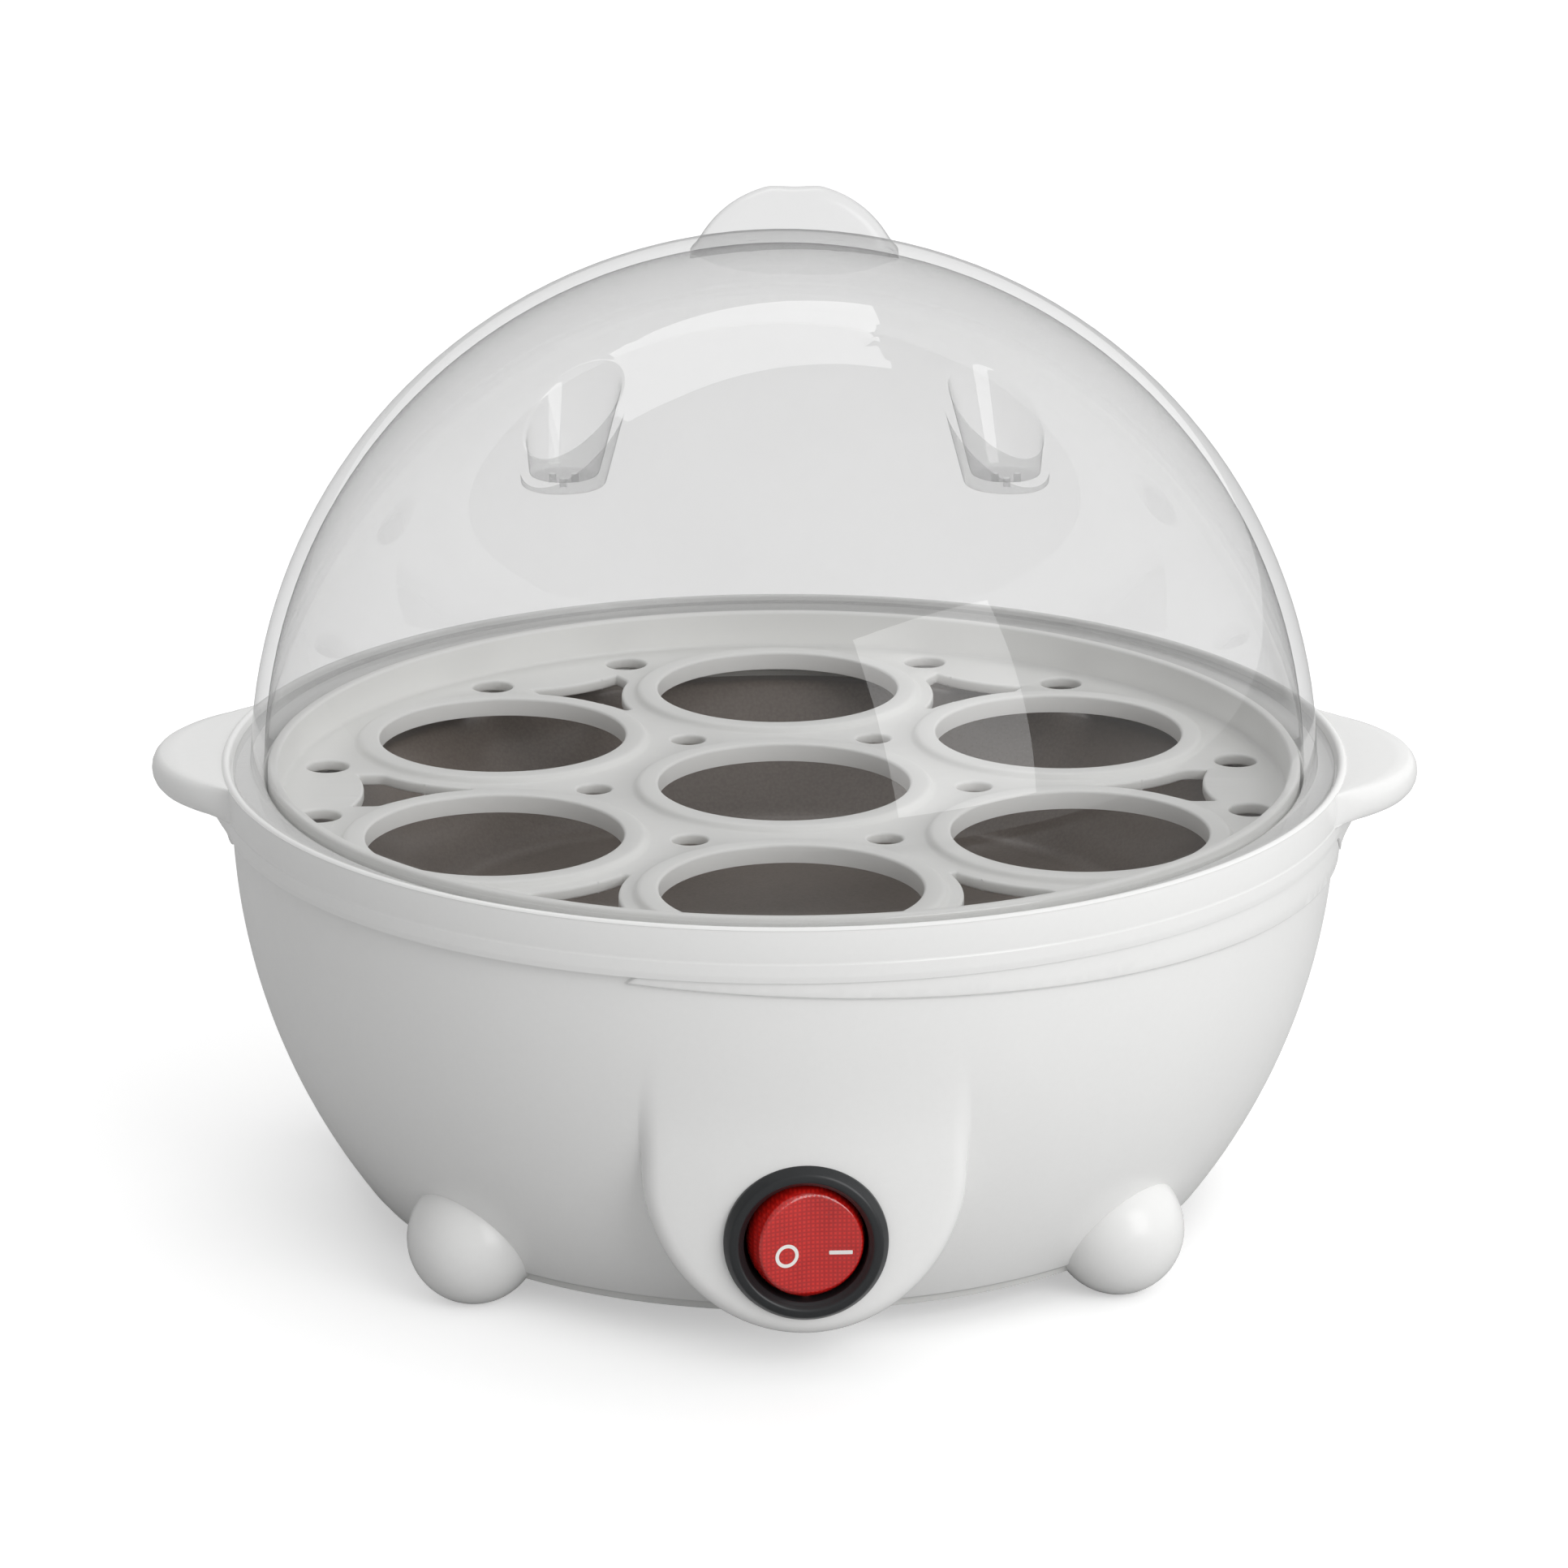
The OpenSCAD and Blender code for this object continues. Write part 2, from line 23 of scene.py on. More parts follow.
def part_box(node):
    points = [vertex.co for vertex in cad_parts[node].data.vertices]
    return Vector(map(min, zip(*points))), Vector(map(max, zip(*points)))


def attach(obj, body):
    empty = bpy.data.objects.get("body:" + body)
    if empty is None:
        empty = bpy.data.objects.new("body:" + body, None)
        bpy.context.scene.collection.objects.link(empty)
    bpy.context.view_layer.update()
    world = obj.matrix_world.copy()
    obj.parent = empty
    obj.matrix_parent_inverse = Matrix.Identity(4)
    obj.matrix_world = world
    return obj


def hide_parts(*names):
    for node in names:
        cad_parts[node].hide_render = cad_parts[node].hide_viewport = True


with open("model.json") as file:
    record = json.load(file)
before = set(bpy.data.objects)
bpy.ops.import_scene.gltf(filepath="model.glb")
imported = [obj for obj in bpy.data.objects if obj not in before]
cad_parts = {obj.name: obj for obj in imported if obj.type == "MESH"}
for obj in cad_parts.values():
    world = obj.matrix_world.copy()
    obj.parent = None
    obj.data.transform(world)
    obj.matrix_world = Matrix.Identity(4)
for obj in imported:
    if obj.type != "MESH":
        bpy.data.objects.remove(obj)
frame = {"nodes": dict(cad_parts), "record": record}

log = logging.getLogger("egg_cooker")
MM = 0.001
Point = Sequence[float]
Loop = list[Point]


# ---------------------------------------------------------------- small maths


def cosd(angle: float) -> float:
    """Cosine of an angle in degrees."""
    return math.cos(math.radians(angle))


def sind(angle: float) -> float:
    """Sine of an angle in degrees."""
    return math.sin(math.radians(angle))


def ramp(value: float) -> float:
    """Smooth step from 0 at 0 to 1 at 1."""
    t = min(1.0, max(0.0, value))
    return t * t * (3 - 2 * t)


def soft_max(a: float, b: float, blend: float) -> float:
    """The larger of two heights, with the crease between them filled.

    Args:
        a: First height.
        b: Second height.
        blend: How near the two have to be for the fill to start.

    Returns:
        A smooth upper envelope of the two.
    """
    near = max(blend - abs(a - b), 0.0) / blend
    return max(a, b) + near * near * blend / 4


def round_drop(inset: float, radius: float) -> float:
    """How far a rounded edge has dropped, at a distance in from the edge.

    Args:
        inset: Distance from the edge, inwards.
        radius: Radius of the rounding.

    Returns:
        The drop, from the radius at the edge to 0 where the rounding ends.
    """
    short = min(radius, max(0.0, radius - inset))
    return radius - math.sqrt(radius * radius - short * short)


def spread(low: float, high: float, count: int) -> list[float]:
    """Evenly spaced values with both ends."""
    return [low + (high - low) * i / (count - 1) for i in range(count)]


def circle(x: float, y: float, radius: float, count: int, start: float = 0.0) -> Loop:
    """Points round a flat circle, anticlockwise."""
    turns = [start + 360 * i / count for i in range(count)]
    return [(x + radius * cosd(a), y + radius * sind(a)) for a in turns]


def fillet(corners: Sequence[tuple[float, float, float]], steps: int = 4, closed: bool = True) -> Loop:
    """Rounds the corners of an outline.

    Args:
        corners: Each corner as x, y and the radius of its rounding.
        steps: Flat pieces in each rounding.
        closed: Whether the outline joins up with its start.

    Returns:
        The outline's points.
    """
    points: Loop = []
    count = len(corners)
    for i, (x, y, radius) in enumerate(corners):
        here = Vector((x, y))
        if radius <= 0 or (not closed and i in (0, count - 1)):
            points.append((x, y))
            continue
        back = Vector(corners[i - 1][:2]) - here
        ahead = Vector(corners[(i + 1) % count][:2]) - here
        half = back.angle(ahead) / 2
        reach = min(radius / math.tan(half), 0.49 * min(back.length, ahead.length))
        bow = reach * math.tan(half)
        centre = here + (back.normalized() + ahead.normalized()).normalized() * (bow / math.sin(half))
        first = here + back.normalized() * reach - centre
        last = here + ahead.normalized() * reach - centre
        from_angle = math.atan2(first.y, first.x)
        sweep = math.atan2(last.y, last.x) - from_angle
        sweep = (sweep + math.pi) % math.tau - math.pi
        for k in range(steps + 1):
            a = from_angle + sweep * k / steps
            points.append((centre.x + bow * math.cos(a), centre.y + bow * math.sin(a)))
    return points


def bend(a: Vector, b: Vector, c: Vector, t: float) -> Vector:
    """A point on the quadratic curve from a to c that is drawn towards b."""
    return a * (1 - t) ** 2 + b * 2 * t * (1 - t) + c * t * t


def foot_of(node: str) -> float:
    """Height of a CAD node's lowest point, in millimetres."""
    return round(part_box(node)[0][2] / MM, 3)


def top_of(node: str) -> float:
    """Height of a CAD node's highest point, in millimetres."""
    return round(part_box(node)[1][2] / MM, 3)


def pin_of(joint: str) -> tuple[float, ...]:
    """Place of a hinge in the record, in millimetres."""
    joints = frame["record"]["behaviour"]["joints"]
    place = next(j["pos_m"] for j in joints if j["name"] == joint)
    return tuple(round(c / MM, 3) for c in place)


# ---------------------------------------------------------------- mesh building


class Shape:
    """A growing mesh in millimetres, closed and cleaned when it becomes a piece."""

    def __init__(self) -> None:
        """Starts with no points and no faces."""
        self.points: list[Vector] = []
        self.faces: list[tuple[int, ...]] = []

    def add(self, points: Iterable[Point], faces: Iterable[Sequence[int]]) -> None:
        """Adds points and the faces between them.

        Args:
            points: The new points.
            faces: Faces that count from the first of the new points.
        """
        base = len(self.points)
        self.points += [Vector(p) for p in points]
        self.faces += [tuple(base + i for i in face) for face in faces]

    def strip(self, rows: Sequence[Sequence[Point]], close_rows: bool = False) -> None:
        """Joins rows of points, each of which is a closed ring, one to the next.

        Args:
            rows: Rings with the same number of points.
            close_rows: Whether the last ring joins the first one.
        """
        count = len(rows[0])
        last = len(rows) if close_rows else len(rows) - 1
        faces = []
        for i in range(last):
            j = (i + 1) % len(rows)
            for k in range(count):
                n = (k + 1) % count
                faces.append((i * count + k, i * count + n, j * count + n, j * count + k))
        self.add([p for row in rows for p in row], faces)

    def lathe(self, profile: Loop, steps: int, closed: bool = True, start: float = 0.0) -> None:
        """Turns a profile of radius and height about the Z axis.

        Args:
            profile: Points as radius and height.
            steps: Flats round the turn.
            closed: Whether the profile joins up with its start.
            start: Azimuth of the first flat's edge.
        """
        turns = [start + 360 * k / steps for k in range(steps)]
        rows = [[(r * cosd(a), r * sind(a), z) for a in turns] for r, z in profile]
        self.strip(rows, close_rows=closed)

    def turn(self, matrix: Matrix) -> None:
        """Moves every point by a matrix."""
        self.points = [matrix @ p for p in self.points]

    def piece(self, name: str, finish: bpy.types.Material, sharp: float = 50.0) -> bpy.types.Object:
        """Makes the Blender object.

        Args:
            name: Name of the object.
            finish: Its material.
            sharp: Edges with a larger angle than this many degrees stay crisp.

        Returns:
            The object, at the origin, with its place in its mesh.
        """
        mesh = bpy.data.meshes.new(name)
        mesh.from_pydata([p * MM for p in self.points], [], self.faces)
        clean(mesh, sharp)
        return place(name, mesh, finish)


def clean(mesh: bpy.types.Mesh, sharp: float = 50.0) -> None:
    """Merges doubled points, drops flat slivers, turns faces outwards and smooths."""
    bm = bmesh.new()
    bm.from_mesh(mesh)
    bmesh.ops.remove_doubles(bm, verts=bm.verts, dist=2e-6)
    bmesh.ops.dissolve_degenerate(bm, edges=bm.edges, dist=1e-6)
    bmesh.ops.recalc_face_normals(bm, faces=bm.faces)
    for face in bm.faces:
        face.smooth = True
    open_edges = sum(not e.is_manifold for e in bm.edges)
    if open_edges:
        log.warning("%s has %d open edges", mesh.name, open_edges)
    bm.to_mesh(mesh)
    bm.free()
    mesh.set_sharp_from_angle(angle=math.radians(sharp))


def place(name: str, mesh: bpy.types.Mesh, finish: bpy.types.Material) -> bpy.types.Object:
    """Puts a mesh in the scene as an object with one material."""
    mesh.materials.clear()
    mesh.materials.append(finish)
    obj = bpy.data.objects.new(name, mesh)
    bpy.context.scene.collection.objects.link(obj)
    return obj


def triangulate(
    loose: Sequence[Point], loops: Sequence[Loop], lines: Sequence[Loop], keep: Callable[[float, float], bool]
) -> tuple[Loop, list[tuple[int, ...]]]:
    """Covers a flat area with triangles that follow its outlines.

    Args:
        loose: Points to pass through.
        loops: Closed outlines.
        lines: Open lines.
        keep: Says whether the triangle with this middle belongs to the area.

    Returns:
        The points and the triangles between them.
    """
    points: Loop = []
    edges: list[tuple[int, int]] = []
    for line, closed in [(x, True) for x in loops] + [(x, False) for x in lines]:
        base, count = len(points), len(line)
        points += line
        edges += [(base + i, base + (i + 1) % count) for i in range(count if closed else count - 1)]
    flat = [Vector(p) for p in [*points, *loose]]
    made, _, faces, *_ = delaunay_2d_cdt(flat, edges, [], 0, 1e-5)
    kept = []
    for face in faces:
        middle = sum((made[i] for i in face), Vector((0, 0))) / len(face)
        if keep(middle.x, middle.y):
            kept.append(tuple(face))
    return [(p.x, p.y) for p in made], kept


def wall(
    shape: Shape,
    flat: tuple[Loop, list[tuple[int, ...]]],
    outer: Callable[[float, float], Point],
    inner: Callable[[float, float], Point],
    joined: Callable[[Vector], bool] = lambda p: False,
) -> None:
    """Makes a wall with two skins from one triangulated sheet.

    Args:
        shape: The shape to add to.
        flat: The sheet's points and triangles.
        outer: Where a flat point goes on the outer skin.
        inner: Where it goes on the inner skin.
        joined: True for an outer point on a rim that another part of the shape closes.
    """
    points, triangles = flat
    used = sorted({i for tri in triangles for i in tri})
    outside = [Vector(outer(*points[i])) for i in used]
    inside = [Vector(inner(*points[i])) for i in used]
    seat: dict[tuple[int, ...], int] = {}
    index = {}
    for n, (i, p) in enumerate(zip(used, outside)):
        index[i] = seat.setdefault(tuple(round(c * 1e4) for c in p), n)
    count = len(used)
    faces: list[tuple[int, ...]] = []
    sides: dict[tuple[int, int], int] = {}
    for tri in triangles:
        a = [index[i] for i in tri]
        if len(set(a)) < 3:
            continue
        faces += [tuple(a), tuple(count + i for i in reversed(a))]
        for i, j in ((a[0], a[1]), (a[1], a[2]), (a[2], a[0])):
            sides[(i, j)] = sides.get((i, j), 0) + 1
    for i, j in sides:
        if (j, i) not in sides and not (joined(outside[i]) and joined(outside[j])):
            faces.append((j, i, count + i, count + j))
    shape.add([*outside, *inside], faces)


# ---------------------------------------------------------------- materials


def linear(colour: str) -> tuple[float, float, float, float]:
    """Turns an sRGB hex colour into the linear one that the shaders take."""
    parts = [int(colour[i : i + 2], 16) / 255 for i in (0, 2, 4)]
    made = [p / 12.92 if p <= 0.04045 else ((p + 0.055) / 1.055) ** 2.4 for p in parts]
    return (made[0], made[1], made[2], 1.0)


def add_node(
    tree: bpy.types.NodeTree,
    kind: str,
    values: dict[str | int, object] | None = None,
    links: dict[str | int, bpy.types.NodeSocket] | None = None,
    **settings: object,
) -> bpy.types.Node:
    """Adds a node with its settings, its input values and its links.

    Args:
        tree: The node tree to add to.
        kind: The node's type.
        values: Values for inputs, by name or number.
        links: Sockets to join to inputs, by name or number.
        settings: Properties of the node.

    Returns:
        The node.
    """
    node = tree.nodes.new(kind)
    for key, value in settings.items():
        setattr(node, key, value)
    for key, value in (values or {}).items():
        node.inputs[key].default_value = value
    for key, socket in (links or {}).items():
        tree.links.new(socket, node.inputs[key])
    return node


def start_material(name: str) -> tuple[bpy.types.Material, bpy.types.NodeTree]:
    """A new material with an empty node tree."""
    material = bpy.data.materials.new(name)
    material.use_nodes = True
    material.node_tree.nodes.clear()
    return material, material.node_tree


def noise(tree: bpy.types.NodeTree, size: float, detail: float = 3.0) -> bpy.types.NodeSocket:
    """Noise in object space whose features are about so many millimetres across."""
    where = add_node(tree, "ShaderNodeTexCoord")
    made = add_node(
        tree,
        "ShaderNodeTexNoise",
        {"Scale": 1 / (size * MM), "Detail": detail, "Roughness": 0.55},
        {"Vector": where.outputs["Object"]},
    )
    return made.outputs["Fac"]


class Grain(Enum):
    """How the fine pattern of a surface runs."""

    FINE = "even fine grain, as a tool's skin leaves on a moulding"
    BRUSHED = "lines along the drawing or brushing direction"
    SPECKLED = "separate bright flakes in a coating"
    WOVEN = "crossed threads"
    RIBBED = "crossed ribs behind a clear face"


@dataclass(frozen=True)
class Finish:
    """A finish: its colours, gloss and fine pattern.

    Attributes:
        name: Common name of the material and how its surface was made.
        colour: Main colour, sRGB hex.
        shade: Second colour that the first one drifts to.
        drift: Size of the colour drift in millimetres.
        gloss: Lowest and highest roughness.
        grain: How the fine pattern runs.
        pitch: Size of the fine pattern in millimetres.
        relief: Depth of the fine pattern in millimetres.
        metal: Whether it is a metal.
        ior: Index of refraction, left at its default on a metal.
        glow: How much light passes into it and comes out again.
        coat: Weight of a clear coat.
    """

    name: str
    colour: str
    shade: str
    drift: float = 18.0
    gloss: tuple[float, float] = (0.2, 0.3)
    grain: Grain = Grain.FINE
    pitch: float = 0.5
    relief: float = 0.004
    metal: bool = False
    ior: float = 1.5
    glow: float = 0.0
    coat: float = 0.0

    def pattern(self, tree: bpy.types.NodeTree) -> bpy.types.NodeSocket:
        """The fine pattern as a height from 0 to 1."""
        where = add_node(tree, "ShaderNodeTexCoord").outputs["Object"]
        if self.grain is Grain.FINE:
            return noise(tree, self.pitch, 2.0)
        if self.grain is Grain.SPECKLED:
            flakes = add_node(
                tree,
                "ShaderNodeTexVoronoi",
                {"Scale": 1 / (self.pitch * MM)},
                {"Vector": where},
                feature="F1",
            )
            return flakes.outputs["Distance"]
        if self.grain is Grain.BRUSHED:
            stretched = add_node(tree, "ShaderNodeMapping", {"Scale": (1.0, 1.0, 0.06)}, {"Vector": where})
            lines = add_node(
                tree,
                "ShaderNodeTexNoise",
                {"Scale": 1 / (self.pitch * MM), "Detail": 4.0},
                {"Vector": stretched.outputs["Vector"]},
            )
            return lines.outputs["Fac"]
        across, along = (
            add_node(
                tree,
                "ShaderNodeTexWave",
                {"Scale": math.tau / 20 / (self.pitch * MM)},
                {"Vector": where},
                wave_type="BANDS",
                bands_direction=direction,
            )
            for direction in ("X", "Z")
        )
        both = add_node(
            tree,
            "ShaderNodeMath",
            links={0: across.outputs["Fac"], 1: along.outputs["Fac"]},
            operation="MULTIPLY" if self.grain is Grain.WOVEN else "MINIMUM",
        )
        return both.outputs["Value"]

    def build(self) -> bpy.types.Material:
        """Makes the material."""
        material, tree = start_material(self.name)
        cloud = noise(tree, self.drift)
        fine = self.pattern(tree)
        drift = add_node(tree, "ShaderNodeMix", data_type="RGBA")
        drift.inputs[6].default_value = linear(self.colour)
        drift.inputs[7].default_value = linear(self.shade)
        mixed = add_node(tree, "ShaderNodeMath", {1: 0.5}, {0: cloud}, operation="MULTIPLY")
        level = add_node(
            tree,
            "ShaderNodeMath",
            {1: 0.5},
            {0: fine, 2: mixed.outputs["Value"]},
            operation="MULTIPLY_ADD",
        )
        tree.links.new(level.outputs["Value"], drift.inputs[0])
        rough = add_node(
            tree,
            "ShaderNodeMapRange",
            {"From Min": 0.3, "From Max": 0.7, "To Min": self.gloss[0], "To Max": self.gloss[1]},
            {"Value": cloud},
        )
        bump = add_node(
            tree, "ShaderNodeBump", {"Strength": 0.6, "Distance": self.relief * MM}, {"Height": fine}
        )
        shader = add_node(
            tree,
            "ShaderNodeBsdfPrincipled",
            {
                "Metallic": 1.0 if self.metal else 0.0,
                "Subsurface Weight": self.glow,
                "Subsurface Radius": (0.9, 0.9, 0.9),
                "Subsurface Scale": 0.0015,
                "Coat Weight": self.coat,
                "Coat Roughness": 0.06,
            },
            {
                "Base Color": drift.outputs[2],
                "Roughness": rough.outputs["Result"],
                "Normal": bump.outputs["Normal"],
            },
        )
        if not self.metal:
            shader.inputs["IOR"].default_value = self.ior
        add_node(tree, "ShaderNodeOutputMaterial", links={"Surface": shader.outputs["BSDF"]})
        return material


@dataclass(frozen=True)
class ClearFinish:
    """A clear moulding with walls so thin that light goes straight through them.

    Attributes:
        name: Common name of the material and how its surface was made.
        tint: Colour of what passes through each face.
        shade: Second tint that the first one drifts to.
        gloss: Lowest and highest roughness.
        ior: Index of refraction, which sets how much each face reflects.
        passes: Share of a lamp's light that a face lets by.
    """

    name: str
    tint: str
    shade: str
    gloss: tuple[float, float] = (0.0, 0.02)
    ior: float = 1.5
    passes: str = "f6f6f6"

    def build(self) -> bpy.types.Material:
        """Makes the material."""
        material, tree = start_material(self.name)
        cloud = noise(tree, 25.0)
        tint = add_node(tree, "ShaderNodeMix", data_type="RGBA", links={0: cloud})
        tint.inputs[6].default_value = linear(self.tint)
        tint.inputs[7].default_value = linear(self.shade)
        rough = add_node(
            tree, "ShaderNodeMapRange", {"To Min": self.gloss[0], "To Max": self.gloss[1]}, {"Value": cloud}
        )
        through = add_node(tree, "ShaderNodeBsdfTransparent", links={"Color": tint.outputs[2]})
        mirror = add_node(tree, "ShaderNodeBsdfGlossy", links={"Roughness": rough.outputs["Result"]})
        fresnel = add_node(tree, "ShaderNodeFresnel", {"IOR": self.ior})
        face = add_node(tree, "ShaderNodeNewGeometry")
        air_side = add_node(
            tree, "ShaderNodeMath", {0: 1.0}, {1: face.outputs["Backfacing"]}, operation="SUBTRACT"
        )
        reflected = add_node(
            tree,
            "ShaderNodeMath",
            links={0: fresnel.outputs["Fac"], 1: air_side.outputs["Value"]},
            operation="MULTIPLY",
        )
        clear = add_node(
            tree,
            "ShaderNodeMixShader",
            links={0: reflected.outputs["Value"], 1: through.outputs["BSDF"], 2: mirror.outputs["BSDF"]},
        )
        lamp_light = add_node(tree, "ShaderNodeBsdfTransparent", {"Color": linear(self.passes)})
        path = add_node(tree, "ShaderNodeLightPath")
        unseen = add_node(
            tree,
            "ShaderNodeMath",
            links={0: path.outputs["Is Shadow Ray"], 1: path.outputs["Is Diffuse Ray"]},
            operation="MAXIMUM",
        )
        both = add_node(
            tree,
            "ShaderNodeMixShader",
            links={0: unseen.outputs["Value"], 1: clear.outputs["Shader"], 2: lamp_light.outputs["BSDF"]},
        )
        add_node(tree, "ShaderNodeOutputMaterial", links={"Surface": both.outputs["Shader"]})
        return material


# Polypropylene, moulded in a polished tool: white, glossy, with a faint waxy depth
WHITE_HOUSING = Finish("moulded_white_polypropylene", "f4f4f3", "efefee", gloss=(0.2, 0.27), pitch=0.9,
                       relief=0.002, ior=1.49, glow=0.12)
# The tray's polypropylene has a satin skin
WHITE_TRAY = Finish("satin_white_polypropylene", "f3f3f1", "ececea", gloss=(0.3, 0.38), relief=0.003,
                    ior=1.49, glow=0.12)
# The cover underneath is textured, so it looks matt
BASE_PLASTIC = Finish("textured_white_polypropylene", "dededc", "d2d2d0", gloss=(0.5, 0.62), relief=0.02,
                      ior=1.49)
# Polystyrene, moulded and clear: a faint grey, sharp reflections
CLEAR_LID = ClearFinish("moulded_clear_polystyrene", "f5f5f5", "f3f3f3", ior=1.59)
CLEAR_GRIP = ClearFinish("frosted_clear_polystyrene", "ededed", "ebebeb", gloss=(0.2, 0.3), ior=1.5)
# Aluminium pan: its grey-brown colour is a painted reflection, with fine metal flakes in it
PAN_PAINTED_REFLECTION = Finish("aluminium_painted_reflection", "857b73", "6a6058", gloss=(0.34, 0.46), grain=Grain.SPECKLED,
                   pitch=0.5, relief=0.01, drift=30, coat=0.2)
# Die-cast aluminium: dull, with the tool's rough skin
CAST_ALUMINIUM = Finish("die_cast_aluminium", "c2c2c0", "a4a4a2", gloss=(0.4, 0.55), relief=0.04, metal=True)
# Drawn steel sheath of the heater, straw-coloured where it has been hot
HEATER_STEEL = Finish("drawn_steel_tube", "9c9890", "7e746a", gloss=(0.3, 0.42), grain=Grain.BRUSHED,
                      pitch=0.3, metal=True, drift=12)
# Zinc plate with a blue passivation
ZINC_STEEL = Finish("zinc_plated_steel", "c4c8cc", "aeb4ba", gloss=(0.26, 0.4), relief=0.006, metal=True,
                    drift=6)
BRASS = Finish("rolled_brass", "d0ac58", "b8923e", gloss=(0.22, 0.34), grain=Grain.BRUSHED, pitch=0.3,
               metal=True, drift=6)
# Nylon for the switch: black, satin, finely spark-textured
BLACK_NYLON = Finish("moulded_black_nylon", "26282a", "1d1f21", gloss=(0.3, 0.4), pitch=0.25,
                     relief=0.01, drift=4)
# Clear red polycarbonate; ribs behind its face cross and catch the light as a grid
RED_LENS = Finish("clear_red_polycarbonate", "9c0a0c", "f0281e", gloss=(0.1, 0.16), grain=Grain.RIBBED,
                  pitch=0.62, relief=0.03, ior=1.58, glow=0.35, coat=0.6, drift=5)
WHITE_PRINT = Finish("white_pad_print", "f6f4f0", "eceae6", gloss=(0.4, 0.5), pitch=0.2, drift=2)
CERAMIC = Finish("unglazed_steatite", "ebe5d8", "d9d2c2", gloss=(0.6, 0.75), relief=0.02, drift=3)
SILICONE = Finish("moulded_silicone", "c9c8c4", "bcbbb6", gloss=(0.45, 0.6), drift=8)
NEON_GLASS = ClearFinish("drawn_neon_glass", "f6c9a0", "f0b080", ior=1.5)
FIBRE_SLEEVE = Finish("braided_glass_fibre", "ece8de", "cfc8b8", gloss=(0.6, 0.75), grain=Grain.WOVEN,
                      pitch=0.6, relief=0.1)
NATURAL_NYLON = Finish("moulded_natural_nylon", "e6dec8", "d8cfb6", gloss=(0.35, 0.5), drift=5)
LIVE = Finish("brown_pvc_insulation", "6e4326", "5e371d", gloss=(0.35, 0.5), drift=6)
NEUTRAL = Finish("blue_pvc_insulation", "2c5aa8", "244c92", gloss=(0.35, 0.5), drift=6)
SWITCHED = Finish("black_pvc_insulation", "222222", "181818", gloss=(0.35, 0.5), drift=6)
HEATER_LEAD = Finish("red_silicone_insulation", "b01818", "961212", gloss=(0.4, 0.55), drift=6)

FINISHES: dict[str, Finish | ClearFinish] = {
    "white_housing": WHITE_HOUSING,
    "white_tray": WHITE_TRAY,
    "clear_lid": CLEAR_LID,
    "base_plastic": BASE_PLASTIC,
    "pan_metal": PAN_PAINTED_REFLECTION,
    "cast_aluminium": CAST_ALUMINIUM,
    "heater_steel": HEATER_STEEL,
    "zinc_steel": ZINC_STEEL,
    "black_nylon": BLACK_NYLON,
    "red_lens": RED_LENS,
    "white_print": WHITE_PRINT,
    "brass": BRASS,
    "ceramic": CERAMIC,
    "silicone": SILICONE,
    "neon_glass": NEON_GLASS,
    "fibre_sleeve": FIBRE_SLEEVE,
    "natural_nylon": NATURAL_NYLON,
    "live_insulation": LIVE,
    "neutral_insulation": NEUTRAL,
    "switched_insulation": SWITCHED,
    "heater_insulation": HEATER_LEAD,
}


class Paint:
    """Makes each finish once and hands it out by the record's slot name."""

    def __init__(self) -> None:
        """Starts with nothing made."""
        self.made: dict[str, bpy.types.Material] = {}

    def slot(self, name: str) -> bpy.types.Material:
        """The material of one of the record's slots."""
        if name not in self.made:
            self.made[name] = FINISHES[name].build()
        return self.made[name]

    def grip(self) -> bpy.types.Material:
        """The lid's clear plastic where the grip is frosted."""
        if "grip" not in self.made:
            self.made["grip"] = CLEAR_GRIP.build()
        return self.made["grip"]


PAINT = Paint()


def hand_over(obj: bpy.types.Object, slot: str, *nodes: str) -> None:
    """Lets a piece ride on its CAD body, in place of its CAD nodes.

    Args:
        obj: The finished piece.
        slot: The record's material slot; not used.
        nodes: The CAD nodes that it stands for, all of one body.
    """
    bodies = frame["record"]["behaviour"]["bodies"]
    body = next(name for name, members in bodies.items() if nodes[0] in members)
    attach(obj, body)
    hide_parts(*nodes)
    log.info("%s rides on %s: %d faces", obj.name, body, len(obj.data.polygons))


# ---------------------------------------------------------------- geometry nodes


def node_group(name: str, inputs: dict[str, tuple[str, object]]) -> tuple[bpy.types.NodeTree, bpy.types.Node]:
    """Starts a geometry node tree with named inputs.

    Args:
        name: Name of the tree.
        inputs: Each input's socket type and default, by name.

    Returns:
        The tree and its input node.
    """
    tree = bpy.data.node_groups.new(name, "GeometryNodeTree")
    tree.interface.new_socket("Geometry", in_out="OUTPUT", socket_type="NodeSocketGeometry")
    for label, (kind, default) in inputs.items():
        socket = tree.interface.new_socket(label, in_out="INPUT", socket_type=kind)
        if default is not None:
            socket.default_value = default
    return tree, add_node(tree, "NodeGroupInput")


def run_group(name: str, tree: bpy.types.NodeTree, values: dict[str, object]) -> bpy.types.Mesh:
    """Runs a geometry node tree once and returns the mesh that it makes.

    Args:
        name: Name of the mesh.
        tree: The tree.
        values: Values for its named inputs.

    Returns:
        A plain mesh with nothing live on it.
    """
    holder = bpy.data.objects.new(name + "_holder", bpy.data.meshes.new(name + "_empty"))
    modifier = holder.modifiers.new("nodes", "NODES")
    modifier.node_group = tree
    for item in tree.interface.items_tree:
        if item.item_type == "SOCKET" and item.in_out == "INPUT" and item.name in values:
            modifier[item.identifier] = values[item.name]
    bpy.context.scene.collection.objects.link(holder)
    graph = bpy.context.evaluated_depsgraph_get()
    graph.update()
    mesh = bpy.data.meshes.new_from_object(holder.evaluated_get(graph))
    mesh.name = name
    bpy.data.objects.remove(holder)
    return mesh


